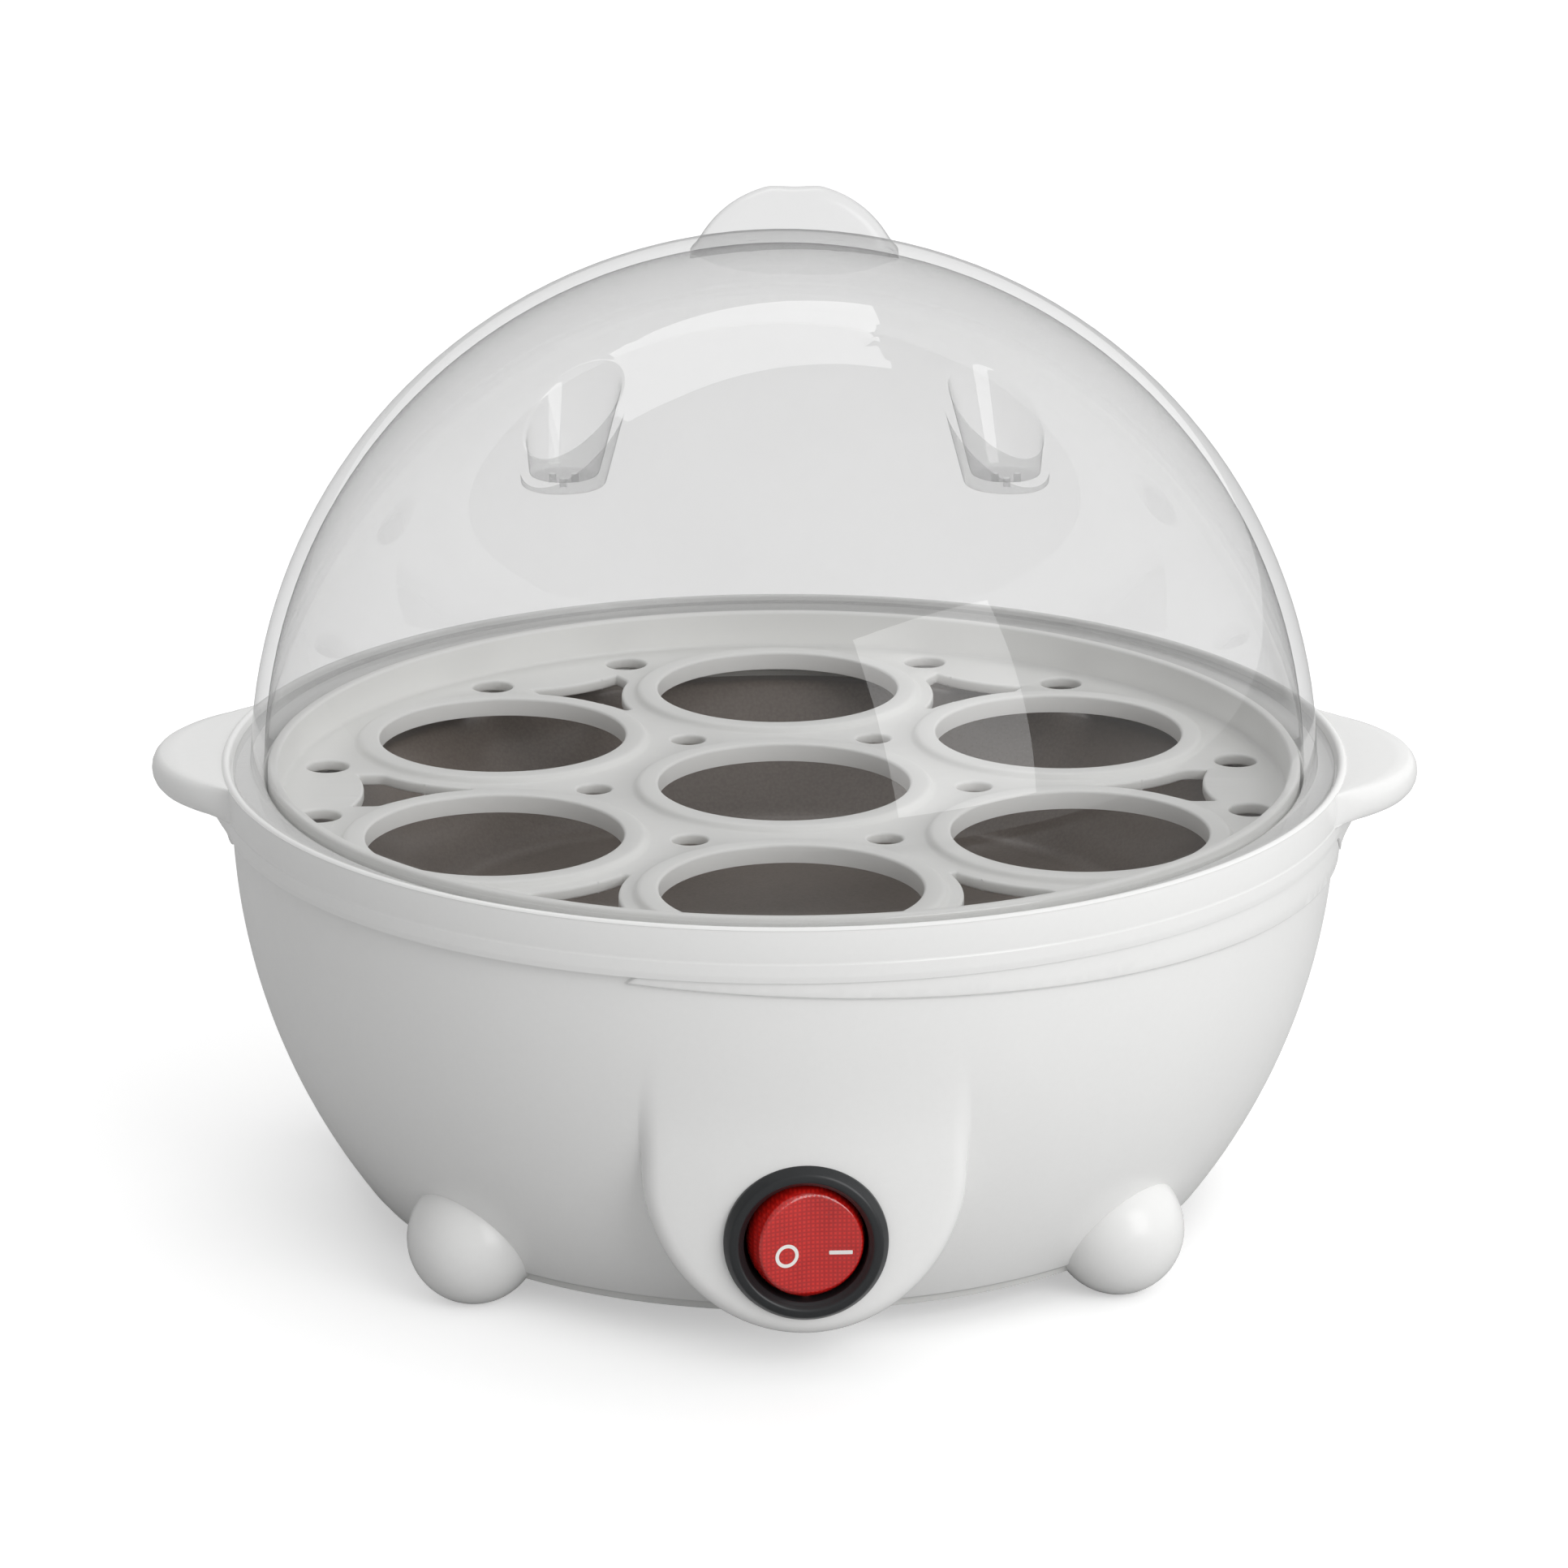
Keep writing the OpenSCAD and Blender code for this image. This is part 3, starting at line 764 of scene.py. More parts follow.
def copies_group() -> bpy.types.NodeTree:
    """A tree that sets copies of a piece round a circle."""
    tree, given = node_group(
        "copies_round_a_circle",
        {
            "Piece": ("NodeSocketObject", None),
            "Count": ("NodeSocketInt", 4),
            "Pitch radius": ("NodeSocketFloat", 0.06),
            "First angle": ("NodeSocketFloat", 0.0),
            "Finish": ("NodeSocketMaterial", None),
        },
    )
    out = given.outputs
    ring = add_node(
        tree, "GeometryNodeMeshCircle", links={"Vertices": out["Count"], "Radius": out["Pitch radius"]}
    )
    source = add_node(tree, "GeometryNodeObjectInfo", links={"Object": out["Piece"]})
    copies = add_node(
        tree,
        "GeometryNodeInstanceOnPoints",
        links={"Points": ring.outputs["Mesh"], "Instance": source.outputs["Geometry"]},
    )
    angle = add_node(tree, "ShaderNodeCombineXYZ", links={"Z": out["First angle"]})
    turned = add_node(
        tree,
        "GeometryNodeTransform",
        links={"Geometry": copies.outputs["Instances"], "Rotation": angle.outputs["Vector"]},
    )
    real = add_node(tree, "GeometryNodeRealizeInstances", links={"Geometry": turned.outputs["Geometry"]})
    dressed = add_node(
        tree,
        "GeometryNodeSetMaterial",
        links={"Geometry": real.outputs["Geometry"], "Material": out["Finish"]},
    )
    add_node(tree, "NodeGroupOutput", links={"Geometry": dressed.outputs["Geometry"]})
    return tree


def lead_group() -> bpy.types.NodeTree:
    """A tree that runs a round lead along a curve's points."""
    tree, given = node_group(
        "lead_along_a_route",
        {
            "Route": ("NodeSocketObject", None),
            "Radius": ("NodeSocketFloat", 0.0013),
            "Sides": ("NodeSocketInt", 20),
            "Finish": ("NodeSocketMaterial", None),
        },
    )
    out = given.outputs
    source = add_node(tree, "GeometryNodeObjectInfo", links={"Object": out["Route"]})
    smooth = add_node(
        tree,
        "GeometryNodeCurveSplineType",
        links={"Curve": source.outputs["Geometry"]},
        spline_type="CATMULL_ROM",
    )
    fine = add_node(
        tree, "GeometryNodeSetSplineResolution", {"Resolution": 14}, {"Geometry": smooth.outputs["Curve"]}
    )
    section = add_node(
        tree, "GeometryNodeCurvePrimitiveCircle", links={"Resolution": out["Sides"], "Radius": out["Radius"]}
    )
    tube = add_node(
        tree,
        "GeometryNodeCurveToMesh",
        {"Fill Caps": True},
        {"Curve": fine.outputs["Geometry"], "Profile Curve": section.outputs["Curve"]},
    )
    real = add_node(tree, "GeometryNodeRealizeInstances", links={"Geometry": tube.outputs["Mesh"]})
    dressed = add_node(
        tree,
        "GeometryNodeSetMaterial",
        links={"Geometry": real.outputs["Geometry"], "Material": out["Finish"]},
    )
    add_node(tree, "NodeGroupOutput", links={"Geometry": dressed.outputs["Geometry"]})
    return tree


# ---------------------------------------------------------------- housing


@dataclass
class Housing:
    """The white bowl with its switch fairing, raised band and cord inlet.

    Attributes:
        top_r: Outer radius at the top edge.
        arc_r: Radius of the arc that the side follows.
        top_z: Height of the top edge.
        bottom_z: Height of the bottom edge.
        thick: Wall of the moulding.
        fair_r: Radius of the fairing's upright face.
        fair_w: Half its width, and the radius of its round lower end.
        fair_z: Height of the middle of that round end.
        fair_edge: Rounding of the fairing's edge.
        switch_z: Height of the switch.
        hole_r: Radius of the switch's hole.
        band: How far the band stands proud.
        cord_az: Azimuth of the cord inlet.
        cord_z: Height of the cord inlet.
        cord_r: Distance of the inlet's flat face from the axis.
        post_r: Distance of the cover's screws from the axis.
        posts: Azimuths of those screws.
    """

    top_r: float = 81.9
    arc_r: float = 94.4
    top_z: float = 60.3
    bottom_z: float = foot_of("bowl_housing")
    thick: float = 2.2
    fair_r: float = 80.0
    fair_w: float = 23.4
    fair_z: float = 30.0
    fair_edge: float = 3.2
    switch_z: float = pin_of("rocker_pivot")[2]
    hole_r: float = 10.1
    band: float = 0.8
    cord_az: float = 165.0
    cord_z: float = 11.5
    cord_r: float = 70.0
    post_r: float = 57.5
    posts: tuple[float, ...] = (-30.0, 90.0, 210.0)

    def bowl(self, z: float) -> float:
        """Radius of the plain bowl at a height."""
        return math.sqrt(self.arc_r**2 - (self.top_z - z) ** 2) + self.top_r - self.arc_r

    def inside_fairing(self, x: float, z: float) -> float:
        """Distance from the fairing's edge, inwards."""
        if z >= self.fair_z:
            return self.fair_w - abs(x)
        return self.fair_w - math.hypot(x, z - self.fair_z)

    def fairing(self, x: float, z: float) -> float:
        """Radius of the fairing's face, edge and steep side."""
        steepness = 6.0
        d = self.inside_fairing(x, z)
        return self.fair_r - round_drop(d, self.fair_edge) + min(0.0, d) * steepness

    def band_edge(self, az: float) -> float:
        """Height of the band's lower edge, which falls towards +X."""
        fall, middle = 0.045, 57.6
        return middle - fall * self.top_r * cosd(az)

    def band_start(self, z: float) -> float:
        """Azimuth of the band's slanted left end at a height."""
        lean = 0.95
        return -106.4 - lean * (self.top_z - z)

    def proud(self, az: float, z: float) -> float:
        """How far the band stands proud at a place."""
        back_end, edge = 107.0, 0.55
        per_degree = math.radians(self.top_r)
        left = (az - self.band_start(z)) * per_degree
        right = (back_end - az) * per_degree
        up = z - self.band_edge(az)
        return self.band * ramp(up / edge) * ramp(left / edge) * ramp(right / edge)

    def outside(self, az: float, z: float) -> float:
        """Radius of the whole outer skin at an azimuth from -270 to 90 and a height."""
        turn = az + 90
        radius = self.bowl(z) + self.proud(az if az > -180 else az + 360, z)
        if abs(turn) < 30:
            radius = soft_max(radius, self.fairing(self.fair_r * sind(turn), z), 1.6)
        off = (az + 360 - self.cord_az) if az < -90 else az - self.cord_az
        around = math.hypot(self.cord_r * math.radians(off), z - self.cord_z)
        flat = ramp((9.0 - around) / 1.0)
        return radius * (1 - flat) + self.cord_r * flat

    def sheet(self) -> tuple[Loop, list[tuple[int, ...]]]:
        """Triangles over the unrolled side: arc length from the switch, and height."""
        unroll = math.radians(self.fair_r)
        half_turn = 180 * unroll
        lines = []
        outer = (-4.5, -3.2, -2.5, -2, -1.6, -1.3, -1, -0.7, -0.45, -0.2, 0)
        inner = (0.1, 0.3, 0.6, 1, 1.5, 2, 2.6, 3.2, 5)
        for inset in outer + inner:
            r = self.fair_w - inset
            down = [a for a in spread(180, 360, 72) if self.fair_z + r * sind(a) > self.bottom_z + 0.4]
            arc = [(r * cosd(a), self.fair_z + r * sind(a)) for a in down]
            left = [(-r, z) for z in spread(50, self.fair_z + 1, 16)] if arc[0][1] > self.fair_z - 2 else []
            right = [(r, z) for z in spread(self.fair_z + 1, 50, 16)]
            for run in (left + [p for p in arc if p[0] < 0], [p for p in arc if p[0] >= 0] + right):
                lines.append([(math.degrees(math.asin(x / self.fair_r)) * unroll, z) for x, z in run])
        lines = [line for line in lines if len(line) > 1]
        for up in (-0.2, 0.0, 0.15, 0.3, 0.45, 0.6):
            azimuths = spread(-112, 109, 150)
            run = [((az + 90) * unroll, self.band_edge(az) + up) for az in azimuths]
            half = [p for p in run if p[0] <= half_turn - 1.5]
            lines.append(half)
            wrapped = [(x - 2 * half_turn, z) for x, z in run if x > half_turn + 1.5]
            if len(wrapped) > 1:
                lines.append(wrapped)
        for shift in (-0.15, 0.0, 0.2, 0.4, 0.6):
            low, high = 56.5, self.top_z - 0.6
            ends = [(self.band_start(z) + math.degrees(shift / self.top_r), z) for z in spread(low, high, 9)]
            lines.append([((az + 90) * unroll, z) for az, z in ends])
        cord_u = (self.cord_az - 270) * unroll
        squeeze = self.fair_r / self.cord_r
        loops = []
        for r in (5.0, 6.4, 7.9, 8.3, 8.7, 9.1, 9.8):
            ring = circle(0, 0, r, 48)
            inlet = [(cord_u + x * squeeze, self.cord_z + z) for x, z in ring]
            if r < self.cord_z - self.bottom_z:
                loops.append(inlet)
            else:
                kept = [p for p in inlet if p[1] > self.bottom_z + 0.3]
                turn = next(i for i, p in enumerate(inlet) if p[1] <= self.bottom_z + 0.3)
                lines.append(kept[turn:] + kept[:turn])
        hole = circle(0, self.switch_z, self.hole_r, 72)
        loops.append([(math.degrees(math.asin(x / self.fair_r)) * unroll, z) for x, z in hole])
        rows = [self.bottom_z, self.bottom_z + 0.25, *spread(7.4, 57, 25), 58, 59, 59.7, self.top_z]
        columns = spread(-half_turn, half_turn, 181)
        loose = []
        for z in rows:
            for u in columns:
                edge_row = z in (rows[0], rows[-1])
                face_x = self.fair_r * sind(u / unroll)
                near = abs(u) < 34 and not edge_row and self.inside_fairing(face_x, z) > -6
                near_cord = math.hypot((u - cord_u) / squeeze, z - self.cord_z) < 11
                if not (near and z < 50) and not (near_cord and not edge_row):
                    loose.append((u, z))
        loose += [(u, z) for u in spread(-15, 15, 13) for z in spread(12, 49, 17)
                  if self.inside_fairing(u, z) > 6 and math.hypot(u, z - self.switch_z) > self.hole_r + 1.5]
        loose += [(u, z) for u in spread(-32, 32, 30) for z in (42, 44, 46, 48) if abs(u) > 29 or abs(u) < 17]

        def keep(u: float, z: float) -> bool:
            """Leaves out the switch's hole and the cord's."""
            in_switch = math.hypot(self.fair_r * sind(u / unroll), z - self.switch_z) < self.hole_r
            in_cord = math.hypot((u - cord_u) / squeeze, z - self.cord_z) < 5.0 - 0.01
            return not (in_switch and abs(u) < 40) and not in_cord

        return triangulate(loose, loops, lines, keep)

    def build(self) -> None:
        """Builds the bowl with its ledge, its tongue and its screw posts."""
        shape = Shape()
        unroll = math.radians(self.fair_r)

        def skin(depth: float) -> Callable[[float, float], Point]:
            """The outer skin moved inwards by a depth."""

            def spot(u: float, z: float) -> Point:
                """A point of the unrolled side in space."""
                az = u / unroll - 90
                radius = self.outside(az, z) - depth
                return (radius * cosd(az), radius * sind(az), z)

            return spot

        wall(shape, self.sheet(), skin(0.0), skin(self.thick))
        ledge = fillet([(80.2, 54.8, 0), (80.2, 58.3, 0.3), (80.95, 58.9, 0), (80.95, 63.5, 0.4),
                        (79.85, 63.5, 0.4), (79.85, 58.3, 0.3), (79.0, 56.6, 0.3), (73.6, 56.6, 0.5),
                        (73.6, 54.8, 0.5)])
        shape.lathe(ledge, 144)
        for az in self.posts:
            post = Shape()
            post.lathe(fillet([(1.2, 5.4, 0.2), (3.6, 5.4, 0.3), (3.4, 22, 0.5), (1.2, 22, 0.2)]), 32)
            post.turn(Matrix.Translation((self.post_r * cosd(az), self.post_r * sind(az), 0)))
            shape.add(post.points, post.faces)
        obj = shape.piece("bowl_shell", PAINT.slot("white_housing"), sharp=60)
        hand_over(obj, "white_housing", "bowl_housing")


@dataclass
class RingWithEars:
    """The upper ring that holds the tray and the lid, with its two carrying ears.

    Attributes:
        housing: The bowl that it stands on.
        outer_r: Outer radius of the ring.
        recess_r: Radius of the lid's recess.
        top_z: Height of the top edge.
        base_z: Height of the edge that stands on the bowl.
        ear_r: Radius of an ear's round outline.
        ear_tip: Distance from the axis to an ear's tip.
        ear_t: Thickness of an ear.
        turn: Turn of the ears on the bowl, in degrees.
    """

    housing: Housing
    outer_r: float = 83.3
    recess_r: float = 82.0
    top_z: float = 68.2
    base_z: float = 60.3
    ear_r: float = 23.5
    ear_tip: float = 93.98
    ear_t: float = 4.9
    turn: float = -3.0

    def ear_reach(self, off: float) -> float:
        """How far an ear stands out beyond the ring at an angle from its middle."""
        middle = self.ear_tip - self.ear_r
        chord = self.ear_r**2 - (middle * sind(off)) ** 2
        if abs(off) > 60 or chord <= 0:
            return 0.0
        reach = middle * cosd(off) + math.sqrt(chord) - self.outer_r
        return max(0.0, soft_max(reach, 0.0, 1.6) - 0.4 * ramp((-reach) / 1.6))

    def section(self, az: float) -> Loop:
        """The closed cross-section at an azimuth, as radius and height."""
        off = (az - self.turn + 90) % 180 - 90
        reach = self.ear_reach(off)
        thin = min(1.0, reach / 4.0)
        web = ramp((13.5 - abs(off)) / 9.5)
        skirt = 5.6 * web + 0.05
        swell = 2.6 * ramp((14.5 - abs(off)) / 10)
        rim = self.outer_r
        bowl_az = az - 360 if az > 90 else az
        tab_top = self.top_z - 0.35
        tab_low = tab_top - self.ear_t
        tip = rim + reach
        soft = 0.12 + 1.7 * thin
        low_z = self.base_z - skirt
        hug = [(self.housing.outside(bowl_az, z) + 0.04, z) for z in spread(self.base_z - 0.02, low_z, 5)]
        path: Loop = [(81.25, self.base_z), *hug]
        foot = rim - 0.15 + (hug[-1][0] + 0.12 - rim + 0.15) * web
        path.append((foot, low_z))
        for t in spread(0.15, 1.0, 7):
            z = low_z + (tab_low - 0.3 - low_z) * t
            wall_r = foot + (rim - foot) * ramp(t * (2.5 - 1.3 * web))
            path.append((wall_r + swell * t**1.7 * min(1, reach), z))
        inner = path[-1][0]
        path += [
            (inner + (tip - inner) * s * 0.96 - soft * s * thin, tab_low - 0.2 + 0.2 * s)
            for s in (0.12, 0.35, 0.7)
        ]
        for a in (-80, -60, -40, -20, 0, 20, 40, 60, 80):
            half = self.ear_t / 2
            squash = half / max(soft, half)
            path.append((tip - soft + soft * cosd(a), tab_low + half + half * sind(a) * squash))
        path += [(rim + (tip - soft - rim) * s, tab_top - 0.02 + 0.04 * (1 - s)) for s in (0.8, 0.45, 0.15)]
        edge = rim - self.recess_r
        path += [(rim - edge / 2 + edge / 2 * cosd(a), self.top_z - edge / 2 + edge / 2 * sind(a))
                 for a in (20, 45, 70, 90, 110, 135, 160)]
        path += [(self.recess_r, 66.5), (self.recess_r - 0.15, 66.08), (self.recess_r - 0.4, 66.0)]
        path += [(77.4, 66.0), (77.1, 65.9), (77.0, 65.6), (77.0, 60.4), (76.8, 60.1), (73.5, 59.97)]
        path += [(73.1, 59.8), (73.0, 59.5), (73.0, 58.5), (73.2, 58.2), (77.4, 58.2), (78.8, 58.25)]
        path += [(78.8, 63.6), (81.25, 63.8)]
        return path

    def build(self) -> None:
        """Lofts the cross-sections round the axis."""
        fine = [self.turn + side + a for side in (0, 180) for a in spread(-32, 32, 161)]
        coarse = [self.turn + side + a for side in (0, 180) for a in spread(33.2, 146.8, 72)]
        turns = sorted(a % 360 for a in fine + coarse)
        sections = [self.section(az) for az in turns]
        rows = [
            [(s[i][0] * cosd(az), s[i][0] * sind(az), s[i][1]) for s, az in zip(sections, turns)]
            for i in range(len(sections[0]))
        ]
        shape = Shape()
        shape.strip(rows, close_rows=True)
        obj = shape.piece("ring_with_ears", PAINT.slot("white_housing"), sharp=60)
        hand_over(obj, "white_housing", "upper_ring")


@dataclass
class Underside:
    """The base cover with its vents, the four knob feet and the cover's screws.

    Attributes:
        housing: The bowl that these pieces hold on to.
        cover_r: Radius of the cover.
        foot_r: Radius of the ball that a foot is cut from.
        foot_xy: Distance of a foot from the axis along X and along Y.
    """

    housing: Housing
    cover_r: float = 63.2
    foot_r: float = 9.6
    foot_xy: float = 46.5

    def cover(self) -> None:
        """The slotted cover with rounded slots and a lip that centres it in the bowl."""
        top, thick, edge = self.housing.bottom_z, 1.6, 0.5
        loops = [circle(0, 0, self.cover_r - d, 144) for d in (0, 0.15, edge)]
        holes = []
        for k in range(12):
            for r in (24, 31, 38):
                corners = [(r, -0.9, 0.8), (r + 4.5, -0.9, 0.8), (r + 4.5, 0.9, 0.8), (r, 0.9, 0.8)]
                turn = Matrix.Rotation(math.radians(30 * k + 15), 2)
                holes.append([tuple(turn @ Vector(p)) for p in fillet(corners, 3)])
        for az in self.housing.posts:
            at = self.housing.post_r
            holes.append(circle(at * cosd(az), at * sind(az), 1.7, 24))
        loose = [p for r in (5, 12, 19, 47, 53) for p in circle(0, 0, r, max(6, round(r)))]

        def keep(x: float, y: float) -> bool:
            """Leaves out the slots and the screw holes."""
            return math.hypot(x, y) < self.cover_r and not any(inside(x, y, hole) for hole in holes)

        def under(x: float, y: float) -> Point:
            """The rounded outer face."""
            return (x, y, top - thick + round_drop(self.cover_r - math.hypot(x, y), edge))

        shape = Shape()
        wall(shape, triangulate(loose, loops + holes, [], keep), under, lambda x, y: (x, y, top))
        lip = fillet([(59.9, top - 0.4, 0), (61.2, top - 0.4, 0), (61.2, top + 2, 0.3), (59.9, top + 2, 0.3)])
        gap = 4.8
        for az in self.housing.posts:
            half = math.degrees(gap / 60)
            turns = spread(az + half, az + 120 - half, 60)
            base = len(shape.points)
            shape.points += [Vector((r * cosd(a), r * sind(a), z)) for a in turns for r, z in lip]
            n = len(lip)
            for i in range(len(turns) - 1):
                for j in range(n):
                    here, there, m = base + i * n, base + (i + 1) * n, (j + 1) % n
                    shape.faces.append((here + j, there + j, there + m, here + m))
            shape.faces.append(tuple(base + j for j in range(n)))
            last = base + (len(turns) - 1) * n
            shape.faces.append(tuple(last + j for j in reversed(range(n))))
        cover = shape.piece("slotted_base_cover", PAINT.slot("base_plastic"), 40)
        hand_over(cover, "base_plastic", "base_cover")

    def feet(self) -> None:
        """Four flattened balls that grow out of the bowl's side."""
        lift = self.foot_r - 0.4
        ball = Shape()
        rows = []
        for tilt in spread(-90, 90, 33):
            z = lift + self.foot_r * sind(tilt)
            level = soft_max(z, 0.0, 0.5) - 0.125 * ramp(-z / 0.5)
            r, level = self.foot_r * cosd(tilt), max(0.0, level)
            rows.append([(r * cosd(a), r * sind(a), level) for a in spread(0, 352.5, 48)])
        ball.strip(rows)
        source = ball.piece("foot_blank", PAINT.slot("white_housing"))
        mesh = run_group(
            "knob_feet",
            copies_group(),
            {
                "Piece": source,
                "Count": 4,
                "Pitch radius": self.foot_xy * math.sqrt(2) * MM,
                "First angle": math.radians(45),
                "Finish": PAINT.slot("white_housing"),
            },
        )
        bpy.data.objects.remove(source)
        clean(mesh)
        feet = place("knob_feet", mesh, PAINT.slot("white_housing"))
        cutter = Shape()
        house = self.housing
        side = [(house.bowl(z) - 0.3, z) for z in spread(house.bottom_z, 40, 40)]
        cutter.lathe([(0, house.bottom_z - 1.6), (self.cover_r, house.bottom_z - 1.6),
                      (self.cover_r, house.bottom_z), *side, (0, 40)], 192, closed=False)
        tool = cutter.piece("bowl_cutter", PAINT.slot("white_housing"))
        cut = feet.modifiers.new("cut", "BOOLEAN")
        cut.object, cut.operation, cut.solver = tool, "DIFFERENCE", "EXACT"
        graph = bpy.context.evaluated_depsgraph_get()
        result = bpy.data.meshes.new_from_object(feet.evaluated_get(graph))
        feet.modifiers.clear()
        feet.data = result
        clean(result, 35)
        result.materials.clear()
        result.materials.append(PAINT.slot("white_housing"))
        bpy.data.objects.remove(tool)
        hand_over(feet, "white_housing", "feet")

    def screws(self) -> None:
        """Three pan-head screws with cross slots."""
        head, top = 2.9, self.housing.bottom_z - 1.6
        blank = Shape()
        blank.lathe(fillet([(0, top - 1.75, 0), (2.0, top - 1.75, 1.4), (head, top - 0.7, 0.4),
                            (head, top, 0.15), (1.25, top, 0), (1.2, top + 10, 0.3),
                            (0.5, top + 11.5, 0.2), (0, top + 11.6, 0)],
                           closed=False), 32, closed=False)
        for k in range(9):
            z = top + 1.6 + k
            blank.lathe([(1.1, z - 0.3), (1.6, z), (1.1, z + 0.3)], 20)
        source = blank.piece("screw_blank", PAINT.slot("zinc_steel"), 40)
        cross = Shape()
        for size in ((1.8, 0.35), (0.35, 1.8)):
            flat = [(-size[0], -size[1]), (size[0], -size[1]), (size[0], size[1]), (-size[0], size[1])]
            cross.add([(x, y, z) for z in (top - 4, top - 0.8) for x, y in flat],
                      [(3, 2, 1, 0), (4, 5, 6, 7), (0, 1, 5, 4), (1, 2, 6, 5), (2, 3, 7, 6), (3, 0, 4, 7)])
        tool = cross.piece("cross_cutter", PAINT.slot("zinc_steel"))
        cut = source.modifiers.new("cut", "BOOLEAN")
        cut.object, cut.operation, cut.solver, cut.use_self = tool, "DIFFERENCE", "EXACT", True
        mesh = run_group(
            "cover_screws",
            copies_group(),
            {
                "Piece": source,
                "Count": 3,
                "Pitch radius": self.housing.post_r * MM,
                "First angle": math.radians(self.housing.posts[0]),
                "Finish": PAINT.slot("zinc_steel"),
            },
        )
        for spare in (source, tool):
            bpy.data.objects.remove(spare)
        clean(mesh, 40)
        hand_over(place("cover_screws", mesh, PAINT.slot("zinc_steel")), "zinc_steel", "base_screws")

    def build(self) -> None:
        """Builds the cover, the feet and the screws."""
        self.cover()
        self.feet()
        self.screws()


def inside(x: float, y: float, outline: Loop) -> bool:
    """Whether a point lies inside a closed outline."""
    found = False
    for (x0, y0), (x1, y1) in zip(outline, outline[1:] + outline[:1]):
        if (y0 > y) != (y1 > y) and x < x0 + (y - y0) * (x1 - x0) / (y1 - y0):
            found = not found
    return found


# ---------------------------------------------------------------- tray and pan


@dataclass
class EggTray:
    """The perforated tray that seven eggs stand in.

    Attributes:
        base_z: Height of the underside.
        plate_t: Thickness of the plate.
        rim_r: Radius of the rim.
        rim_z: Height of the rim's top.
        egg_r: Radius of an egg's opening.
        egg_ring_r: Outer radius of the raised ring round it.
        egg_ring_h: How far that ring stands over the plate.
        pitch: Distance of the outer eggs from the middle one.
        turn: Turn of the tray in its ring.
        plate_r: Radius of the flat plate inside the rim.
        edge: Rounding of the openings' edges.
    """

    base_z: float = foot_of("egg_tray")
    plate_t: float = 1.8
    rim_r: float = 76.5
    rim_z: float = top_of("egg_tray")
    egg_r: float = 18.75
    egg_ring_r: float = 22.4
    egg_ring_h: float = 1.0
    pitch: float = 49.0
    turn: float = -1.0
    plate_r: float = 73.8
    edge: float = 0.45

    def eggs(self) -> Loop:
        """The middles of the seven openings."""
        return [(0.0, 0.0)] + circle(0, 0, self.pitch, 6, 30)

    def slot_outline(self, k: int, inset: float) -> Loop:
        """One of the six steam openings, between two eggs and the rim.

        Args:
            k: Which opening, from 0 to 5.
            inset: How far outside the hole the outline lies.

        Returns:
            The closed outline.
        """
        clear_r, half, bulge_r = 24.4 - inset, 7.6 + inset, 22.9 - inset
        egg_x, egg_y = self.pitch * cosd(30), self.pitch * sind(30)
        bulge_x = 62.5 + 22.9

        def half_width(x: float) -> float:
            """Half the opening's width at a distance from the axis."""
            chord = clear_r**2 - (egg_x - x) ** 2
            return min(half, egg_y - math.sqrt(max(0.0, chord)))

        tip = egg_x - math.sqrt(clear_r**2 - egg_y**2) if clear_r > egg_y else 44.0
        tip = max(tip, 46.5 - inset)
        corner = bulge_x - math.sqrt(bulge_r**2 - half**2)
        side = [(x, half_width(x)) for x in spread(tip, corner, 22)]
        cap = [(bulge_x - math.sqrt(bulge_r**2 - y * y), y) for y in spread(half, -half, 13)[1:-1]]
        outline = side + cap + [(x, -y) for x, y in reversed(side)]
        c, s = cosd(60 * k), sind(60 * k)
        points = [(x * c - y * s, x * s + y * c) for x, y in outline]
        for _ in range(2):
            cut = []
            for p, q in zip(points, points[1:] + points[:1]):
                cut.append((p[0] * 0.75 + q[0] * 0.25, p[1] * 0.75 + q[1] * 0.25))
                cut.append((p[0] * 0.25 + q[0] * 0.75, p[1] * 0.25 + q[1] * 0.75))
            points = cut
        return points

    def drop(self, inset: float) -> float:
        """Drop of a hole's rounded edge."""
        return round_drop(inset, self.edge)

    def sheet(self) -> tuple[tuple[Loop, list[tuple[int, ...]]], dict[tuple[int, int], float]]:
        """The plate's triangles, and the height of the points on rounded edges."""
        steps = (0.0, 0.06, 0.2, self.edge)
        heights: dict[tuple[int, int], float] = {}
        loops: list[Loop] = []

        def add(loop: Loop, height: float) -> None:
            """Adds an outline at a height over the plate's top."""
            loops.append(loop)
            for x, y in loop:
                heights[(round(x * 1e3), round(y * 1e3))] = height

        for x, y in self.eggs():
            for d in steps:
                add(circle(x, y, self.egg_r + d, 72), self.egg_ring_h - self.drop(d))
            for r, h in ((21.2, 1.0), (21.6, 0.95), (21.9, 0.78), (22.1, 0.5), (22.3, 0.2), (22.7, 0.0)):
                add(circle(x, y, r, 72), h)
        for k in range(6):
            for d in steps:
                add(self.slot_outline(k, d), -self.drop(d))
            for r, at, off in ((2.6, 28.3, 0.0), (3.15, 69.5, -10.0), (3.15, 69.5, 10.0)):
                for d in steps:
                    az = 60 * k + off
                    add(circle(at * cosd(az), at * sind(az), r + d, 28), -self.drop(d))
        add(circle(0, 0, self.plate_r, 180), 0.0)
        holes = [loops[i * 10] for i in range(7)]
        rest = loops[70:-1]
        holes += [rest[i] for i in range(0, len(rest), 4)]

